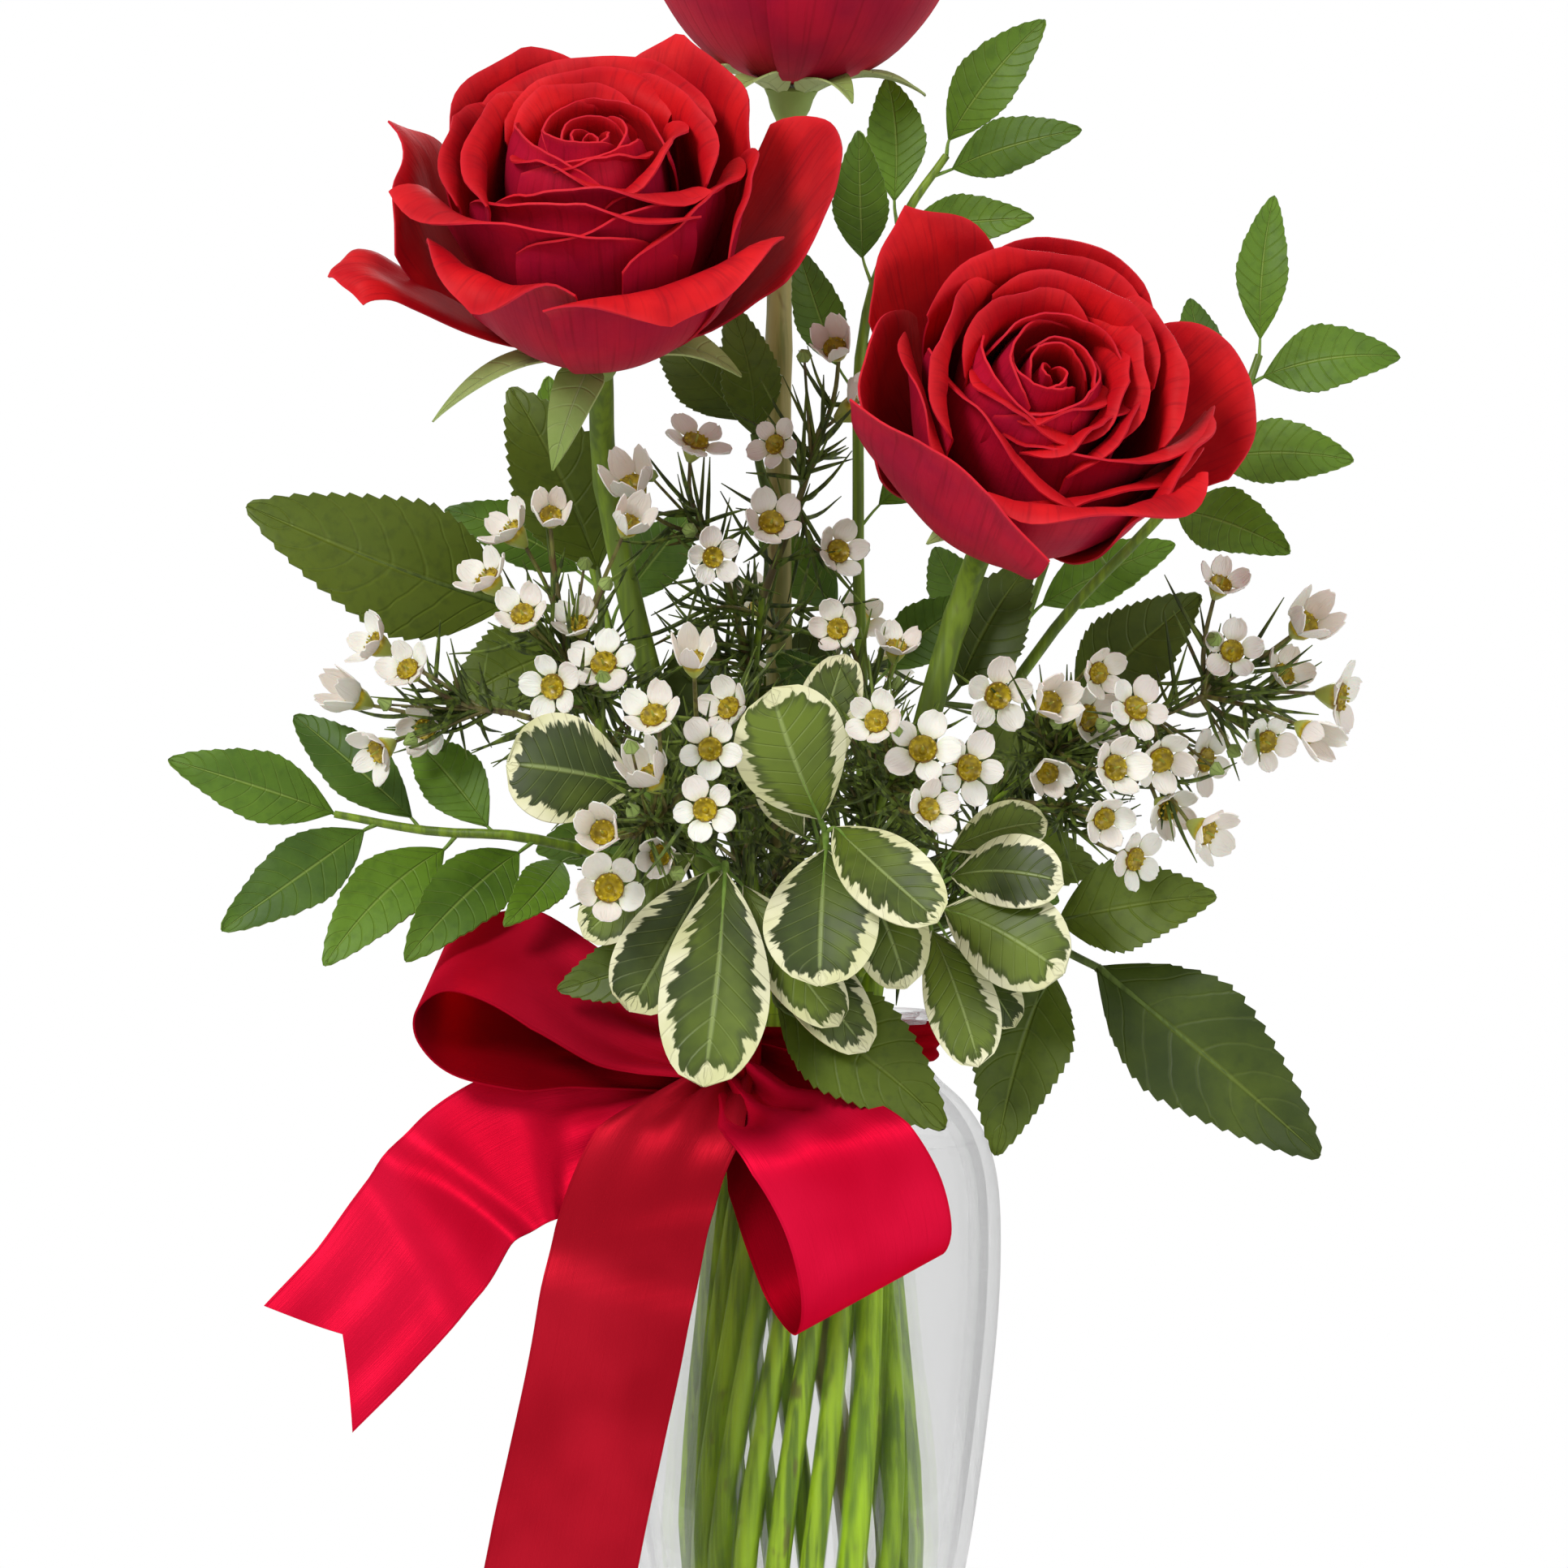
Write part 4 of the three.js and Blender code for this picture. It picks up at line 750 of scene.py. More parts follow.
def leaf_finish(name, light, dark, under, veins, slant, gloss=0.42):
    """A leaf with a pale midrib, side veins that curve forward to the edge, and a duller lower side."""
    f = Finish(name, Specular_IOR_Level=0.35)
    side, ahead, tint, lower = f.side(), f.ahead(), f.attribute("tint"), f.attribute("lower_side")
    cloud = f.noise(60, 4.0)
    wobble = f.noise(90, 2.0) * 0.07
    run = (ahead - abs(side) ** 1.4 * (slant / 3) + wobble) * veins
    vein = (1 - run.zigzag() * 2).step(0.82, 1.0)
    rib = (1 - abs(side)).step(0.93, 0.99)
    fine = f.noise(420, 3.0)
    base = f.mix((cloud * 0.7 + tint * 0.5 + 0.2).step(0.35, 1.0), dark, light)
    base = f.mix(fine.step(0.45, 0.75) * 0.3, base, dark)
    upper = f.mix(vein * 0.14 + rib * 0.5, base, under)
    dull = f.mix(cloud.step(0.3, 0.8) * 0.35 + fine.step(0.5, 0.8) * 0.15, under, dark)
    dull = f.mix(vein * 0.3 + rib * 0.6, dull, rgb(180, 194, 130))
    colour = f.mix(lower * 0.85, upper, dull)
    bump = fine * 0.25 - vein * 0.4 - rib * 0.8
    return f.done(colour, gloss + 0.2 * cloud + 0.15 * lower, bump, 0.35)


def variegated_finish():
    """Pittosporum leaf: olive green with a torn cream margin, dark green along it, and a pale midrib."""
    f = Finish("variegated_leaf_skin", Specular_IOR_Level=0.45)
    side, ahead, tint, lower = f.side(), f.ahead(), f.attribute("tint"), f.attribute("lower_side")
    close = f.node("CombineXYZ", None, {0: side * 1.6, 1: ahead * 19 - abs(side) * 4, 2: tint * 40})
    wide = f.node("CombineXYZ", None, {0: side * 1.2, 1: ahead * 3, 2: tint * 40 + 9})
    torn, broad = f.noise(1.0, 3.0, on=close), f.noise(1.0, 1.0, on=wide)
    margin = side.math("MINIMUM", 1 - abs(side), (1 - ahead) * 3.4)
    cut = margin - torn * 0.66 - broad * 0.5 + 0.36
    cream = 1 - cut.step(-0.03, 0.03)
    shade = 1 - cut.step(0.04, 0.26)
    cloud = f.noise(70, 3.0)
    rib = (1 - abs(side)).step(0.93, 0.985)
    vein = (1 - (ahead * 10 - abs(side) * 2.2).zigzag() * 2).step(0.8, 0.98)
    green = f.mix((cloud * 0.8 + tint * 0.4).step(0.35, 0.85), rgb(50, 66, 10), rgb(106, 126, 30))
    green = f.mix(vein * 0.16 + rib * 0.5, green, rgb(168, 186, 112))
    green = f.mix(shade * 0.55, green, rgb(44, 54, 14))
    colour = f.mix(cream, green, f.mix(cloud.step(0.3, 0.7), rgb(236, 234, 196), rgb(214, 214, 158)))
    colour = f.mix(lower * 0.5, colour, rgb(176, 190, 140))
    return f.done(colour, 0.38 + 0.2 * cloud, cloud * 0.3 - vein * 0.5 - rib * 0.8, 0.3)


def stem_finish(name, light, dark, scar, gloss=0.4, olive=0.0):
    """A green stem with long streaks and brown flecks. It may be more olive above the vase's neck."""
    f = Finish(name, Specular_IOR_Level=0.45)
    streaks = f.noise(1.0, 3.0, (520, 520, 16))
    flecks = f.noise(1.0, 2.0, (240, 240, 90))
    colour = f.mix(streaks.step(0.35, 0.65), dark, light)
    colour = f.mix(flecks.step(0.64, 0.74) * 0.7, colour, scar)
    if olive:
        height = f.node("SeparateXYZ", None, {0: f.place()}, 2)
        colour = f.mix(height.step(0.17, 0.23) * olive, colour, rgb(96, 112, 40))
    return f.done(colour, gloss + 0.2 * streaks, streaks + flecks * 0.5, 0.2)


def wax_petal_finish():
    """Waxy white petal, a little green at its claw and pinkish in places, with fine folds."""
    f = Finish("wax_petal", Specular_IOR_Level=0.35, Subsurface_Weight=0.15, Subsurface_Scale=0.002)
    ahead = f.ahead()
    folds = f.noise(1.0, 2.0, (9, 2, 1), f.sheet())
    colour = f.mix(f.attribute("tint") * 0.7, rgb(244, 240, 230), rgb(232, 216, 208))
    colour = f.mix((1 - ahead).step(0.55, 1.0) * 0.55, colour, rgb(206, 208, 150))
    return f.done(colour, 0.5, folds, 0.25)


def cup_finish():
    """The flower's cup: yellow green inside, a thin brown ring under its rim, green outside."""
    f = Finish("flower_cup", Specular_IOR_Level=0.5)
    ahead = f.ahead()
    cloud = f.noise(700, 2.0)
    inside = f.mix(cloud.step(0.3, 0.7), rgb(204, 180, 34), rgb(150, 128, 22))
    ring = ahead.step(0.46, 0.5) - ahead.step(0.56, 0.6)
    colour = f.mix(ring * 0.9, inside, rgb(112, 70, 24))
    colour = f.mix(ahead.step(0.62, 0.7), colour, rgb(176, 184, 84))
    return f.done(colour, 0.35, cloud, 0.1)


def glass_finish():
    """Clear thin glass with a slight waviness from blowing, and painted grey shade where it is seen along its
    wall.
    """
    f = Finish("clear_blown_glass", Transmission_Weight=1.0, IOR=1.12, Roughness=0.0, Coat_Weight=0.35)
    grazing = f.node("LayerWeight", None, {"Blend": 0.5}, 1) ** 3
    # Painted shade: the colour turns grey where the wall is seen edge-on.
    colour = f.mix(grazing, (0.985, 0.99, 0.99, 1), (0.86, 0.87, 0.87, 1))
    f.feed(f.shader.inputs["Alpha"], 0.2 + 0.5 * grazing)
    return f.done(colour, bump=f.noise(14, 1.0), bump_height=0.01)


def water_finish():
    """Water that lets the stems show, hardly tinted."""
    f = Finish("still_water", Transmission_Weight=1.0, IOR=1.06, Roughness=0.0, Alpha=0.1)
    cloud = f.noise(10, 1.0)
    return f.done(f.mix(cloud.step(0.3, 0.7), (0.975, 0.99, 0.98, 1), (0.985, 0.995, 0.99, 1)))


PETAL_SKIN = petal_finish()
SATIN_SKIN = satin_finish()
ROSE_LEAF = leaf_finish("rose_leaf_skin", rgb(86, 104, 16), rgb(44, 60, 8), rgb(112, 128, 46), 8, 0.6)
LEAFLET = leaf_finish("leaflet_skin", rgb(96, 132, 26), rgb(48, 78, 10), rgb(142, 166, 76), 11, 0.4)
VARIEGATED = variegated_finish()
SEPAL_SKIN = leaf_finish(
    "sepal_skin", rgb(170, 188, 112), rgb(132, 156, 76), rgb(190, 204, 144), 6, 0.3, 0.55,
)
ROSE_STEM = stem_finish("rose_stem_skin", rgb(166, 206, 20), rgb(98, 134, 14), rgb(92, 80, 34), olive=0.7)
TAN_STEM = stem_finish("tan_stem_skin", rgb(172, 158, 96), rgb(132, 130, 66), rgb(112, 78, 44))
GREEN_STEM = stem_finish("green_stem_skin", rgb(152, 188, 22), rgb(86, 118, 14), rgb(92, 84, 34), olive=0.5)
TWIG = stem_finish("twig_skin", rgb(122, 122, 56), rgb(84, 72, 38), rgb(92, 54, 34))
NEEDLE = stem_finish("needle_leaf_skin", rgb(104, 124, 40), rgb(52, 66, 18), rgb(92, 70, 36), 0.55)
ROSE_RIB = stem_finish("rose_leaf_rib_skin", rgb(92, 112, 40), rgb(72, 90, 28), rgb(84, 100, 34), 0.55)
LEAFLET_RIB = stem_finish("leaflet_rib_skin", rgb(128, 158, 66), rgb(100, 134, 44), rgb(112, 140, 52), 0.55)
WAX_PETAL = wax_petal_finish()
CUP = cup_finish()
GLASS = glass_finish()
WATER = water_finish()


# ---------------------------------------------------------------- the vase and the water
def outer_profile():
    """The vase's outside as a smooth line of many points, (radius, height)."""
    corners = [Vector((radius, height, 0)) for radius, height in VASE_OUTSIDE]
    steps = 66
    return [tuple(flowing(corners, i / steps)[:2]) for i in range(steps + 1)]


def inner_profile(gap):
    """The wall's inside above the rounded floor, or a line that keeps a gap to it."""
    return [(r - GLASS_WALL - gap, z) for r, z in outer_profile() if z > VASE_FLOOR + 4]


def vase():
    """The wall with a round lip, a thick floor with a round corner, and a foot that is hollow below."""
    outside = outer_profile()
    half = GLASS_WALL / 2
    lip_radius, lip_height = outside[-1][0] - half, outside[-1][1] - half
    turns = [math.pi * k / 8 for k in range(1, 8)]
    lip = [(lip_radius + math.cos(turn) * half, lip_height + math.sin(turn) * half) for turn in turns]
    walls = [(r, clamp(z, 0, lip_height)) for r, z in outside]
    inner = [(r, min(z, lip_height)) for r, z in inner_profile(0)]
    foot = [(0, 0.9), (12, 0.9), (20, 0.5), (23.5, 0)]
    floor = [(25.6, VASE_FLOOR + 1.4), (23.6, VASE_FLOOR + 0.2), (20, VASE_FLOOR), (0, VASE_FLOOR)]
    piece = turned("blown_vase", foot + walls + lip + inner[::-1] + floor, 96)
    part_of_bouquet(piece, "glass_vase", GLASS)


def water():
    """The water fills the vase up to its level and stands a little higher along the glass."""
    wall = [(r, z) for r, z in inner_profile(FIT_GAP) if z < WATER_LEVEL - 0.8]
    top = WATER_LEVEL - 0.9
    edge = wall[-1][0]
    foot = VASE_FLOOR + FIT_GAP
    bottom = [(0, foot), (20, foot), (23.2, foot + 0.3), (25.2, foot + 1.6)]
    surface = [(edge - 0.3, top + 0.9), (edge - 1.2, top + 0.3), (edge - 3, top), (0, top)]
    piece = turned("clear_water", bottom + wall + surface, 72)
    part_of_bouquet(piece, "vase_water", WATER)


# ---------------------------------------------------------------- stems in the vase
def in_vase(slot, height):
    """Where the stem with this slot in the neck is at a height in the vase."""
    (low, _), (top, _) = RING[0], RING[-1]
    turn = math.radians(slot - STEM_TWIST * (top - height) / (top - low))
    for (z0, r0), (z1, r1) in zip(RING, RING[1:]):
        if height <= z1:
            radius = mix(r0, r1, (height - z0) / (z1 - z0))
            break
    return Vector((math.sin(turn) * radius, -math.cos(turn) * radius, height))


def stem_points(slot, above):
    """The line of a stem from the vase's floor up through the neck."""
    return [in_vase(slot, height) for height, _ in RING] + vectors(above)


def thin_stem(data, ends):
    """The line of a thin stem and its radii, thicker in the vase. The ends are the radius shares above it."""
    shares = (1.9, 1.9, 1.6, 1, *ends)
    return stem_points(data["slot"], data["path"]), [THIN_STEM_RADIUS * share for share in shares]


# ---------------------------------------------------------------- places on the flowers
def standing(place, up, right):
    """Turns +Z up and +X to the right, unit vectors at right angles, and moves the origin to the place."""
    turn = Matrix((right, up.cross(right), up)).transposed().to_4x4()
    return Matrix.Translation(Vector(place)) @ turn


def seat(place, axis):
    """Turns +Z to the axis and moves the origin to the place."""
    up = Vector(axis).normalized()
    return standing(place, up, (Vector((1, 0, 0)) - up * up.x).normalized())


def flower_matrix(middle, facing, radius, spin):
    """Moves a flower with a radius of 1 to its place, turned to where it faces."""
    up = facing.normalized()
    right = up.cross(Vector((0.3, 0.1, 1))).normalized()
    return standing(middle, up, right) @ Matrix.Rotation(spin, 4, "Z") @ Matrix.Scale(radius, 4)


# ---------------------------------------------------------------- rose blooms
def bezier(profile, t):
    """The place at t on the curve whose four points are given as radius, height, radius, height and so on."""
    k = 1 - t
    weights = (k**3, 3 * k * k * t, 3 * k * t * t, t**3)
    radius = sum(w * r for w, r in zip(weights, profile[0::2]))
    height = sum(w * z for w, z in zip(weights, profile[1::2]))
    return Vector((radius, height))


def with_lip(profile, t, start, curl):
    """A point of a petal's profile, (radius, height), with all beyond the start rolled back by the curl."""
    if t <= start:
        return bezier(profile, t)
    base = bezier(profile, start)
    ahead = (bezier(profile, start + 0.01) - bezier(profile, start - 0.01)) / 0.02
    bow = ahead.length * (1 - start) / curl
    ahead.normalize()
    out = Vector((ahead.y, -ahead.x))
    angle = curl * (t - start) / (1 - start)
    return base + ahead * (bow * math.sin(angle)) + out * (bow * (1 - math.cos(angle)))


def petal_point(petal, u, v):
    """A point of a petal round +Z: u runs across it from -1 to 1 and v from its claw to its tip."""
    edge = abs(u)
    outline = 1 - petal["round"] * edge**3 + petal["slope"] * u
    outline += petal["peak"] * math.exp(-5 * abs(u - petal["apex"]))
    curl = petal["curl"] * mix(petal["middle"], petal["ends"], ease(0.1, 0.9, edge))
    place = with_lip(petal["profile"], v * outline, petal["lip"], max(curl, 0.05))
    free = ease(0.3, 1, v)
    spot = Vector((u * petal["half"] * 2.4, v * 2.4, petal["grain"]))
    crumple = (noise.noise(spot) + 0.5 * noise.noise(spot * 2.3)) * petal["crumple"] * free
    rolled = petal["roll"] * clamp(edge * 2 - 1) ** 2 * v**1.5
    bend = petal["spiral"] * u + petal["flat"] * (u * u - 0.25)
    radius = place.x * (1 + free * bend) + crumple + 0.3 * rolled
    height = place.y - rolled + 0.6 * noise.noise(spot * 1.7 + Vector((9, 0, 0))) * petal["crumple"] * free
    return polar(petal["turn"] + u * petal["half"], radius, height)


def petal_form(profile, half, bearing, rng, **form):
    """All that petal_point needs. The profile is a curve of (radius, height) from the claw to the tip."""
    usual = dict(
        round=0.1, spiral=0, roll=1.5, curl=1.3, middle=0.45, ends=1.25, lip=0.88, slope=0, peak=0, apex=0,
        flat=0, crumple=0.7, tint=0.5,
    )
    half, turn = math.radians(half), math.radians(bearing)
    return {**usual, "profile": profile, "half": half, "turn": turn, "grain": rng.uniform(0, 90), **form}


def whorl(heart, rng):
    """The closed middle of a rose: small scrolled petals, each wrapped in the next."""
    petals = []
    for i in range(heart["petals"]):
        t = i / (heart["petals"] - 1)
        mouth = mix(1.6, 13, t**0.9)
        belly = mouth + mix(3, 7, t)
        top = heart["height"] - 3.5 + 3.5 * ease(0, 0.5, t) - 1.5 * t + rng.uniform(-0.8, 0.8)
        petals.append(petal_form(
            (2, 14, belly * 0.95, 16, belly * 1.1, top * 0.75, mouth, top),
            mix(120, 72, t), heart["start"] + GOLDEN_ANGLE * i + rng.uniform(-14, 14), rng,
            spiral=mix(-0.35, -0.12, t), roll=mix(0, 1.2, t), curl=mix(0.3, 1.3, t), lip=0.93,
            flat=mix(0, 0.2, t), crumple=mix(0.3, 0.6, t), slope=rng.uniform(-0.012, 0.012), tint=0.1,
        ))
    return petals


def ring_petal(ring, lean, rng):
    """A petal that has begun to open: its lip is rolled back and flatter than the ring it stands in."""
    bearing, mouth, top, half, flat, spiral, slope = ring
    belly = clamp(mouth * 1.02 + 3, 10, 26.5)
    top += lean * math.sin(math.radians(bearing))
    profile = (3, 4, belly * 0.92, 6, belly * 1.1, top * 0.68, mouth, top)
    return petal_form(
        profile, half, bearing, rng, spiral=spiral, flat=flat, roll=2.0, curl=rng.uniform(1.7, 2.4), lip=0.86,
        crumple=0.75, slope=slope, apex=rng.uniform(-0.5, 0.5), peak=0.025, tint=0.35,
    )


def guard_petal(guard, rng):
    """An outer petal, laid open as far as its tip's reach from the axis."""
    bearing, layer, reach, tip_height, half, roll, roundness, form = guard
    belly = min(30 + 1.6 * layer, reach * 0.92)
    claw = max(1.2 - 0.3 * layer, 0.5)
    side = (mix(belly * 1.1, reach, 0.25), tip_height * form.get("shoulder", 0.52))
    profile = (3, claw, belly * 0.82, claw + 0.4, *side, reach, tip_height)
    look = {"lip": 0.88, "crumple": 1.2, "roll": roll, "round": roundness, "tint": 0.9, **form}
    return petal_form(profile, half, bearing, rng, **look)


def bloom(name, rose):
    rng = random.Random(SEED + len(name))
    petals = whorl(rose["heart"], rng)
    petals += [ring_petal(ring, rose["heart"]["lean"], rng) for ring in rose["rings"]]
    petals += [guard_petal(guard, rng) for guard in rose["guards"]]
    put = seat(rose["place"], rose["axis"])

    def sheet(petal):
        """The rows lie closer and closer towards the lip."""
        return formed(24, 22, lambda u, v: put @ petal_point(petal, -u, 1 - (1 - v) ** 1.6), petal["tint"])

    piece = smooth(thicken(joined(f"rose_{name}_petals", [sheet(petal) for petal in petals]), PETAL))
    part_of_bouquet(piece, f"rose_{name}_bloom", PETAL_SKIN)


# ---------------------------------------------------------------- leaves
def oval(v, widest, blunt):
    """Half width along a leaf as a share of the widest: a swelling side, then an end that may be blunt."""
    if v < widest:
        return math.sin(math.pi / 2 * v / widest)
    t = (v - widest) / (1 - widest)
    return (1 - t ** (1 + blunt)) ** (1 / (1 + blunt)) if blunt else math.cos(math.pi / 2 * t)


# How each kind of leaf is cut: its widest place, the bluntness of its end, the teeth on a side, their depth,
# and the rows and columns of its sheet.
CUTS = dict(
    leaflet=(0.45, 0.25, 14, 0.05, 42, 8),
    rose=(0.42, 0.2, 17, 0.075, 51, 10),
    spoon=(0.64, 0.9, 0, 0, 26, 10),
    sepal=(0.25, 0, 0, 0, 18, 6),
)


def leaf(kind, start, tip, width, face=(0, -1, 0.3), arch=0.08, fold=0.2, droop=0.0, rng=None):
    """A leaf from its start to its tip. Returns its sheet and the line of its rib."""
    widest, blunt, teeth, depth, rows, columns = CUTS[kind]
    base = Vector(start)
    rib = Vector(tip) - base
    length = rib.length
    ahead = rib.normalized()
    side = ahead.cross(Vector(face)).normalized()
    up = side.cross(ahead)
    sway = rng.uniform(-0.05, 0.05) * length
    twist = rng.uniform(-0.12, 0.12)
    wave = rng.uniform(0.2, 0.5) * width / 16
    phase = rng.uniform(0, 6.28)
    half_width = width / 2

    def middle(v):
        bow = 4 * arch * length * v * (1 - v) - droop * length * v**3
        return base + rib * v + up * bow + side * (sway * 4 * v * (1 - v))

    def place(u, v):
        edge = abs(u)
        share = max(oval(v, widest, blunt) ** 0.85, 0.03)
        tooth = (v * teeth % 1 - 0.3) * depth * (edge > 0.99) * ease(0.02, 0.12, v) if teeth else 0
        half = half_width * (share + tooth * (0.35 + share))
        lift = edge * half * fold + wave * math.sin(9 * v + phase + 2 * u) * edge * edge
        turned_side = side + up * (twist * math.sin(math.pi * v))
        return middle(v) + turned_side * (u * half) + up * lift + ahead * (tooth * half_width * 0.8)

    sheet = formed(columns, rows, place, rng.random())
    return sheet, [middle(v) - up * 0.15 for v in (0, 0.2, 0.45, 0.7, 0.93)]


def leafy(name, node, slot, kind, leaves, skin, **form):
    """All leaves of a stem as one piece. Returns the lines of their ribs, with their small stalks."""
    rng = random.Random(SEED + len(name) * 3)
    sheets, ribs = [], []
    for root, start, tip, width in leaves:
        sheet, rib = leaf(kind, start, tip, width, rng=rng, **form)
        sheets.append(sheet)
        if (Vector(root) - Vector(start)).length > 1:
            rib = [Vector(root), *rib]
        ribs.append((rib, [width / 42 * share for share in (1.5, 1, 0.8, 0.6, 0.4)] + [0.08]))
    blades = smooth(thicken(joined(name, sheets), BLADE), 70)
    part_of_bouquet(blades, node, skin)
    return ribs


# ---------------------------------------------------------------- the green of the roses
def calyx(name, rose):
    """The hip and the sepals, which bend down and curl at their tips."""
    rng = random.Random(SEED)
    node = f"rose_{name}_stem"
    put = Matrix.Scale(MM, 4) @ seat(rose["place"], rose["axis"]) @ Matrix.Scale(1 / MM, 4)
    sheets = []
    for bearing, reach, droop, width in rose["sepals"]:
        turn = math.radians(bearing)
        start, tip = polar(turn, 4, -2.4), polar(turn, reach, -droop)
        sheet, _ = leaf("sepal", start, tip * 1.08, width * 1.25, (0, 0, 1), 0.14, 0.35, 0.06, rng)
        sheet.data.transform(put)
        sheets.append(sheet)
    skin = smooth(thicken(joined(f"rose_{name}_sepals", sheets), BLADE))
    part_of_bouquet(skin, node, SEPAL_SKIN)
    outline = ((0, -10), (2.4, -9.6), (3.3, -8), (4.6, -5.5), (5.3, -3), (6.2, -1.2), (5.6, -0.4), (0, -0.4))
    hip = turned(f"rose_{name}_hip", outline, 24)
    hip.data.transform(put)
    part_of_bouquet(hip, node, SEPAL_SKIN)


def rose_stem(name, rose):
    """The stem in one smooth line from the vase's floor to the hip, thicker at its joints."""
    end = Vector(rose["place"]) - Vector(rose["axis"]).normalized() * (HIP - 0.5)
    knots = stem_points(rose["slot"], rose["stem"]) + [end]
    steps = 46
    points, radii = [], []
    for t in (i / steps for i in range(steps + 1)):
        joint = max(math.cos(t * 34 + rose["slot"]), 0) ** 24
        points.append(flowing(knots, t))
        radii.append(ROSE_STEM_RADIUS * (mix(1.0, 0.85, t) + 0.13 * joint))
    piece = stalks(f"rose_{name}_stalk", [(points, radii)], 3)
    part_of_bouquet(piece, f"rose_{name}_stem", TAN_STEM if name == "top" else ROSE_STEM)


def rose_leaves(name, rose):
    node = f"rose_{name}_stem"
    form = dict(arch=0.06, fold=0.16, droop=0.04)
    ribs = leafy(f"rose_{name}_leaves", node, "rose_green", "rose", rose["leaves"], ROSE_LEAF, **form)
    ribs.append((vectors(rose["leaf_stalk"]), (1.3, 0.9)))
    part_of_bouquet(stalks(f"rose_{name}_leaf_ribs", ribs, 2), node, ROSE_RIB)


# ---------------------------------------------------------------- leafy sprays and pittosporum
def spray(name, data, kind, slot, skin, rib_skin, **form):
    """A stem with its leaves, their ribs and their small stalks."""
    ribs = leafy(f"{name}_leaves", name, slot, kind, data["leaves"], skin, **form)
    stem = thin_stem(data, (0.9, 0.8, 0.6))
    part_of_bouquet(stalks(f"{name}_stalks", [stem], 2), name, GREEN_STEM)
    part_of_bouquet(stalks(f"{name}_ribs", ribs, 2), name, rib_skin)


# ---------------------------------------------------------------- waxflower
# A waxflower's cup, (radius, height), for a flower with a radius of 1.
CUP_OUTLINE = (
    (0, 0.02), (0.06, 0), (0.1, -0.1), (0.22, -0.08), (0.29, 0.06), (0.33, 0.09), (0.35, 0.03), (0.3, -0.2),
    (0.18, -0.42), (0.09, -0.56), (0, -0.6),
)


def wax_pattern(number, raised):
    """A flower made once, with a radius of 1: its crinkled petals, its cup and its anthers."""
    sheets, balls = [], []
    for k in range(WAX_PETALS):
        grain = Vector((number * 7, k * 3, 0))
        size = 1 + 0.1 * math.sin(k * 2.6 + number)

        def place(u, v, k=k, grain=grain, size=size):
            round_share = math.sqrt(max(0, 1 - ((v - 0.56) / 0.47) ** 2))
            half = (0.31 * round_share + 0.1 * (1 - v) ** 2) * size
            lift = raised * v * v * 0.6 + 0.28 * u * u * half
            lift += 0.07 * noise.noise(Vector((u * 1.4, v * 1.8, 0)) + grain) * (0.4 + v)
            out = 0.27 + (0.72 - 0.28 * raised) * v * size
            sway = 0.09 * noise.noise(grain * 1.3) * v
            turn = Matrix.Rotation(k * 2 * math.pi / WAX_PETALS, 3, "Z")
            return turn @ Vector((out, u * half + sway, lift)) / MM

        sheets.append(formed(6, 6, place, 0.25 * ((k + number) % 4)))
    petals = joined(f"pattern_petals_{number}", sheets)

    def cup_place(u, v):
        """From the middle of the cup out over its rim and down the green funnel."""
        return polar(u * math.pi, *along(vectors(CUP_OUTLINE), v)) / MM

    cup = formed(12, 10, cup_place, 0.5)
    for k in range(ANTHERS):
        at = polar(k * 2 * math.pi / ANTHERS, 0.27, 0.13 + 0.03 * (k % 2))
        bpy.ops.mesh.primitive_ico_sphere_add(subdivisions=1, radius=0.04, location=at)
        balls.append(bpy.context.object)
    bpy.ops.mesh.primitive_cone_add(vertices=6, radius1=0.045, radius2=0.02, depth=0.36, location=(0, 0, 0.1))
    balls.append(bpy.context.object)
    anthers = joined(f"pattern_anthers_{number}", balls)
    select(anthers)
    bpy.ops.object.transform_apply(location=True, rotation=True, scale=True)
    return petals, cup, anthers


def branches(data):
    """The lines that carry flowers: the upper part of the main stem and its side branches."""
    return (data["path"][1:], *data["branches"])


def fork(data, middle):
    """Where a flower's stalk leaves the spray: a little below the nearest place on its branches."""
    places = []
    for a, b in (span for line in branches(data) for span in spans(line)):
        length = (b - a).length
        share = clamp((middle - a).dot(b - a) / length**2)
        places.append(a + (b - a) * clamp(share - 7 / length, 0.02, 0.97))
    return min(places, key=lambda place: (place - middle).length)


def needle_tuft(start, end, count, rng):
    """Needle leaves along a twig, each a thin curved line that points ahead and outward."""
    needles = []
    for _ in range(count):
        root = start.lerp(end, rng.uniform(0.05, 1))
        way = (end - start).normalized() + any_way(rng) * 1.1
        tip = root + way.normalized() * rng.uniform(10, 22)
        sag = Vector((0, 0, rng.uniform(-1.8, 0.4)))
        needles.append(([root, root.lerp(tip, 0.5) + sag, tip], (0.55, 0.5, 0.12)))
    return needles


def side_twigs(start, end, rng):
    """Short twigs full of needles along a branch, most of them to its back: the twigs and their needles."""
    twigs, needles = [], []
    count = max(round((end - start).length / 4.5), 1)
    for i in range(count):
        root = start.lerp(end, (i + rng.random()) / count)
        way = (end - start).normalized() * 0.7 + any_way(rng) + Vector((0, 0.5, 0.3))
        tip = root + way.normalized() * rng.uniform(12, 24)
        bend = root.lerp(tip, 0.5) + Vector((0, 0, rng.uniform(-1.5, 1.5)))
        twigs.append(([root, bend, tip], (0.55, 0.25)))
        needles += needle_tuft(root, tip, 9, rng)
    return twigs, needles


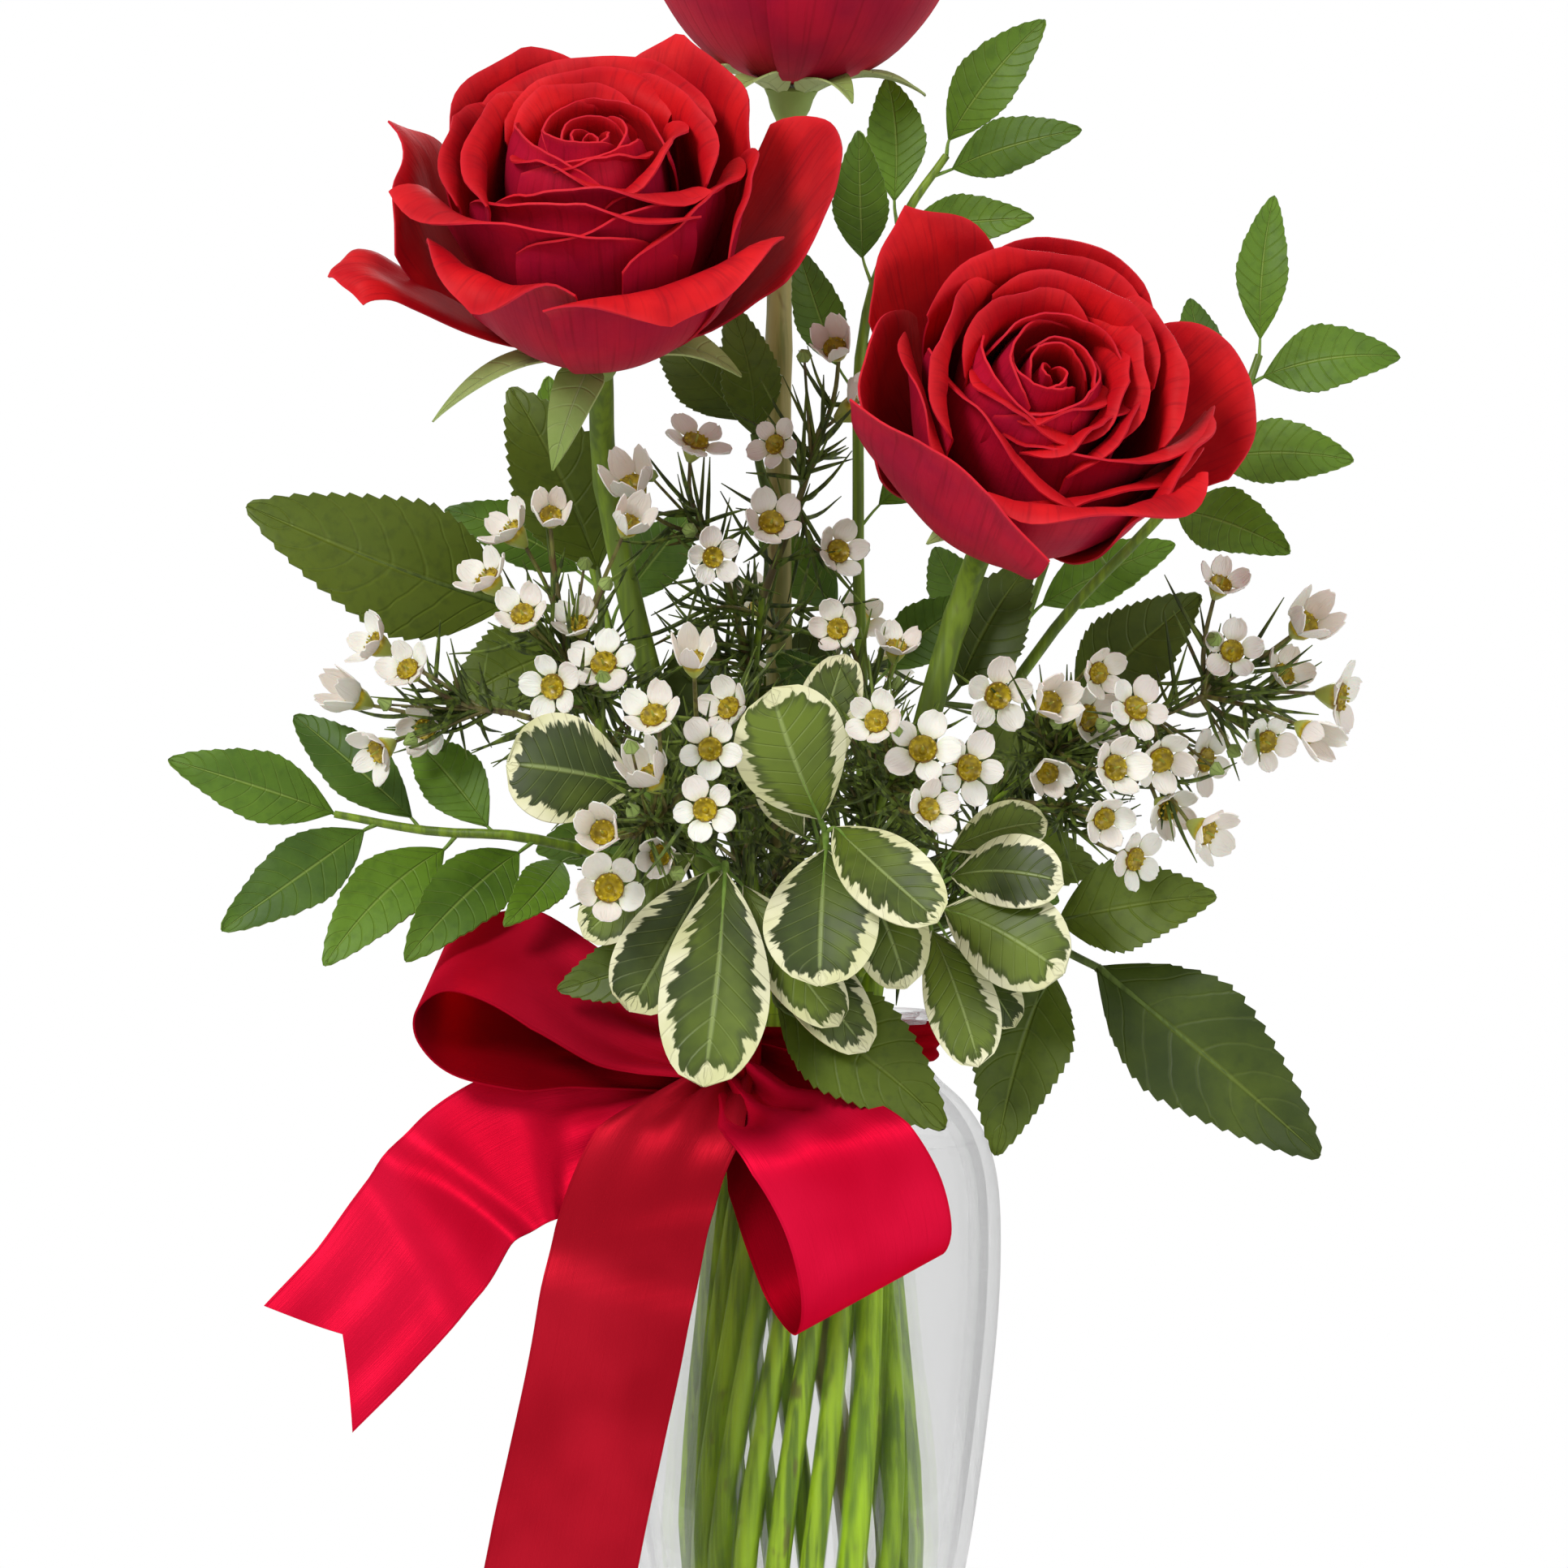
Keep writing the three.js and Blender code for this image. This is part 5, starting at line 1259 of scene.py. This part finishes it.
def waxflower(name, data, patterns):
    """A spray: flowers on stalks from its branches, buds beside them, twigs and needles."""
    rng = random.Random(SEED + len(name))
    petals, cups, anthers, needles, buds = [], [], [], [], []
    twigs = [(vectors(line), (1.0, 0.7)) for line in data["branches"]]
    for number, place in enumerate(data["flowers"]):
        middle = Vector(place)
        start = fork(data, middle)
        facing = ((middle - start).normalized() * 0.7 + Vector(data["front"])).normalized()
        facing = (facing + 0.42 * any_way(rng)).normalized()
        radius = (8.6 + 0.9 * math.sin(number * 2.4)) * rng.uniform(0.9, 1.06)
        put = flower_matrix(middle, facing, radius, rng.uniform(0, 6.28))
        for group, pattern in zip((petals, cups, anthers), patterns[rng.choice((0, 0, 1, 1, 2))]):
            group.append(copied(pattern, put))
        heel = middle - facing * CUP_DEPTH
        bow = heel - facing * 4 + (start - heel) * 0.3
        twigs.append(([start, bow, heel], (0.65, 0.45)))
        if number % 2:
            end = start.lerp(middle, 0.7) + any_way(rng) * 7
            twigs.append(([start, start.lerp(end, 0.5), end], (0.45, 0.3)))
            buds.append(([end - facing * 0.8, end, end + facing * 2.6], (0.5, 1.9, 0.5)))
        needles += needle_tuft(start, bow, 7, rng)
    for a, b in (span for line in branches(data) for span in spans(line)):
        needles += needle_tuft(a, b, round((b - a).length * 0.6), rng)
    for a, b in spans(data["path"]):
        more_twigs, more_needles = side_twigs(a, b, rng)
        twigs += more_twigs
        needles += more_needles
    for word, group, skin in (("petals", petals, WAX_PETAL), ("cups", cups, CUP), ("anthers", anthers, CUP)):
        piece = joined(f"{name}_{word}", group)
        if word == "petals":
            thicken(piece, WAX_SHEET)
        part_of_bouquet(smooth(piece), name, skin)
    for word, lines, roundness, skin in (
        ("stem", [thin_stem(data, (0.8, 0.7, 0.5))], 2, GREEN_STEM),
        ("twigs", twigs, 1, TWIG),
        ("needles", needles, 0, NEEDLE),
        ("buds", buds, 1, SEPAL_SKIN),
    ):
        part_of_bouquet(stalks(f"{name}_{word}", lines, roundness), name, skin)


# ---------------------------------------------------------------- the ribbon
def ribbon_run(run):
    """A run of ribbon, gathered in folds where it is narrow, with a swallowtail end if it has a notch."""
    middle = vectors(run["points"])
    ways = [Vector(row[:3]) for row in run["across"]]
    widths = [row[3] for row in run["across"]]
    length = sum((b - a).length for a, b in spans(middle))
    notch = run.get("notch", 0) / length

    def place(u, v):
        t = v * (1 - notch * (1 - abs(u)) * ease(0.75, 1, v))
        way = flowing(ways, t).normalized()
        share = along(widths, t)
        ahead = flowing(middle, min(t + 0.01, 1)) - flowing(middle, max(t - 0.01, 0))
        out = way.cross(ahead).normalized()
        rise = math.cos(u * math.pi * 2.5 + 0.6) * GATHER * (1 - share) ** 0.8
        for start, slant, height in run.get("creases", ()):
            off = (t - start + slant * u) / 0.045
            rise += height * off * math.exp(-off * off)
        return flowing(middle, t) + way * (u * share * RIBBON_WIDTH / 2) + out * rise

    return formed(24, run["rows"], place, run["lit"]), length


def ribbon():
    """Two loops, two tails, the turn round the vase's neck and the knot, all of one ribbon."""
    runs = [ribbon_run(run) for run in RIBBON_RUNS.values()]

    def band(u, v):
        turn = 2 * math.pi * v
        across = (u + 1) / 2
        fold = math.cos(2.6 * math.pi * u + 0.9 * math.sin(2 * turn) + 0.5 * math.sin(5 * turn))
        return polar(turn, BAND_RADIUS + 0.8 * math.sin(math.pi * across) + 0.5 * fold, mix(*BAND, across))

    def knot(u, v):
        turn = 2 * math.pi * v
        wide, deep, high = KNOT_RADII
        swell = 1 - 0.25 * u * u
        crease = 1 + 0.07 * math.cos(5 * u * math.pi + 1.3 * math.sin(turn))
        out = Vector((u * wide, math.cos(turn) * deep * swell, math.sin(turn) * high * swell))
        return Vector(KNOT) + out * crease

    sheets = [sheet for sheet, _ in runs] + [formed(20, 96, band), formed(14, 28, knot)]
    length = sum(length for _, length in runs) + AROUND_NECK + IN_KNOT
    piece = smooth(thicken(joined("satin_bow", sheets), SATIN))
    part_of_bouquet(piece, "satin_ribbon", SATIN_SKIN)


# ---------------------------------------------------------------- camera, light and floor
def camera():
    """Level, straight from the front and far off, as the photo was taken."""
    bpy.ops.object.camera_add(location=(-0.0041, -1.5, 0.2415), rotation=(math.pi / 2, 0, 0))
    eye = bpy.context.object
    eye.data.sensor_width = 36
    eye.data.lens = 150.9
    bpy.context.scene.camera = eye


def soft_light(name, place, aim, size, power):
    bpy.ops.object.light_add(type="AREA", location=place)
    lamp = bpy.context.object
    lamp.name = name
    lamp.data.shape = "DISK"
    lamp.data.size = size
    lamp.data.energy = power
    lamp.rotation_euler = (Vector(aim) - Vector(place)).to_track_quat("-Z", "Y").to_euler()


def studio():
    """A pale round floor, a white surround and three soft lamps."""
    bpy.ops.mesh.primitive_cylinder_add(vertices=96, radius=0.5, depth=0.01, location=(0, 0, -0.0055))
    floor = bpy.context.object
    floor.name = "studio_floor"
    f = Finish("studio_floor_paint")
    cloud = f.noise(6, 2.0)
    floor.data.materials.append(f.done(f.mix(cloud, rgb(238, 238, 238), rgb(244, 244, 244)), 0.9))
    world = bpy.data.worlds.new("white_surround")
    bpy.context.scene.world = world
    world.use_nodes = True
    nodes, links = world.node_tree.nodes, world.node_tree.links
    surround = nodes["Background"]
    surround.inputs["Color"].default_value = (1, 1, 1, 1)
    seen = nodes.new("ShaderNodeLightPath")
    level = nodes.new("ShaderNodeMapRange")
    level.inputs["To Min"].default_value = 0.55
    level.inputs["To Max"].default_value = 1.0
    links.new(seen.outputs["Is Camera Ray"], level.inputs["Value"])
    links.new(level.outputs["Result"], surround.inputs["Strength"])
    soft_light("key_lamp", (-0.9, -1.3, 1.3), (0, 0, 0.28), 0.6, 20)
    soft_light("fill_lamp", (1.2, -1.0, 0.6), (0, 0, 0.25), 0.9, 5)
    soft_light("back_lamp", (0.3, 1.2, 1.1), (0, 0, 0.3), 0.8, 7)
    bpy.context.scene.view_settings.view_transform = "Standard"


select()
camera()
studio()
vase()
water()
for name, rose in ROSES.items():
    bloom(name, rose)
    calyx(name, rose)
    rose_stem(name, rose)
    rose_leaves(name, rose)
for name, data in LEAFY.items():
    spray(name, data, "leaflet", "green_leaf", LEAFLET, LEAFLET_RIB)
spray("salal_sprig_front", SALAL, "rose", "green_leaf", ROSE_LEAF, ROSE_RIB)
for name, data in PITTOSPORUM.items():
    spray(name, data, "spoon", "variegated_leaf", VARIEGATED, LEAFLET_RIB, arch=0.1, fold=0.12)
patterns = [wax_pattern(number, raised) for number, raised in enumerate((0.35, 0.8, 1.5))]
for name, data in WAXFLOWER.items():
    waxflower(name, data, patterns)
for pattern in (piece for flower in patterns for piece in flower):
    bpy.data.objects.remove(pattern)
ribbon()
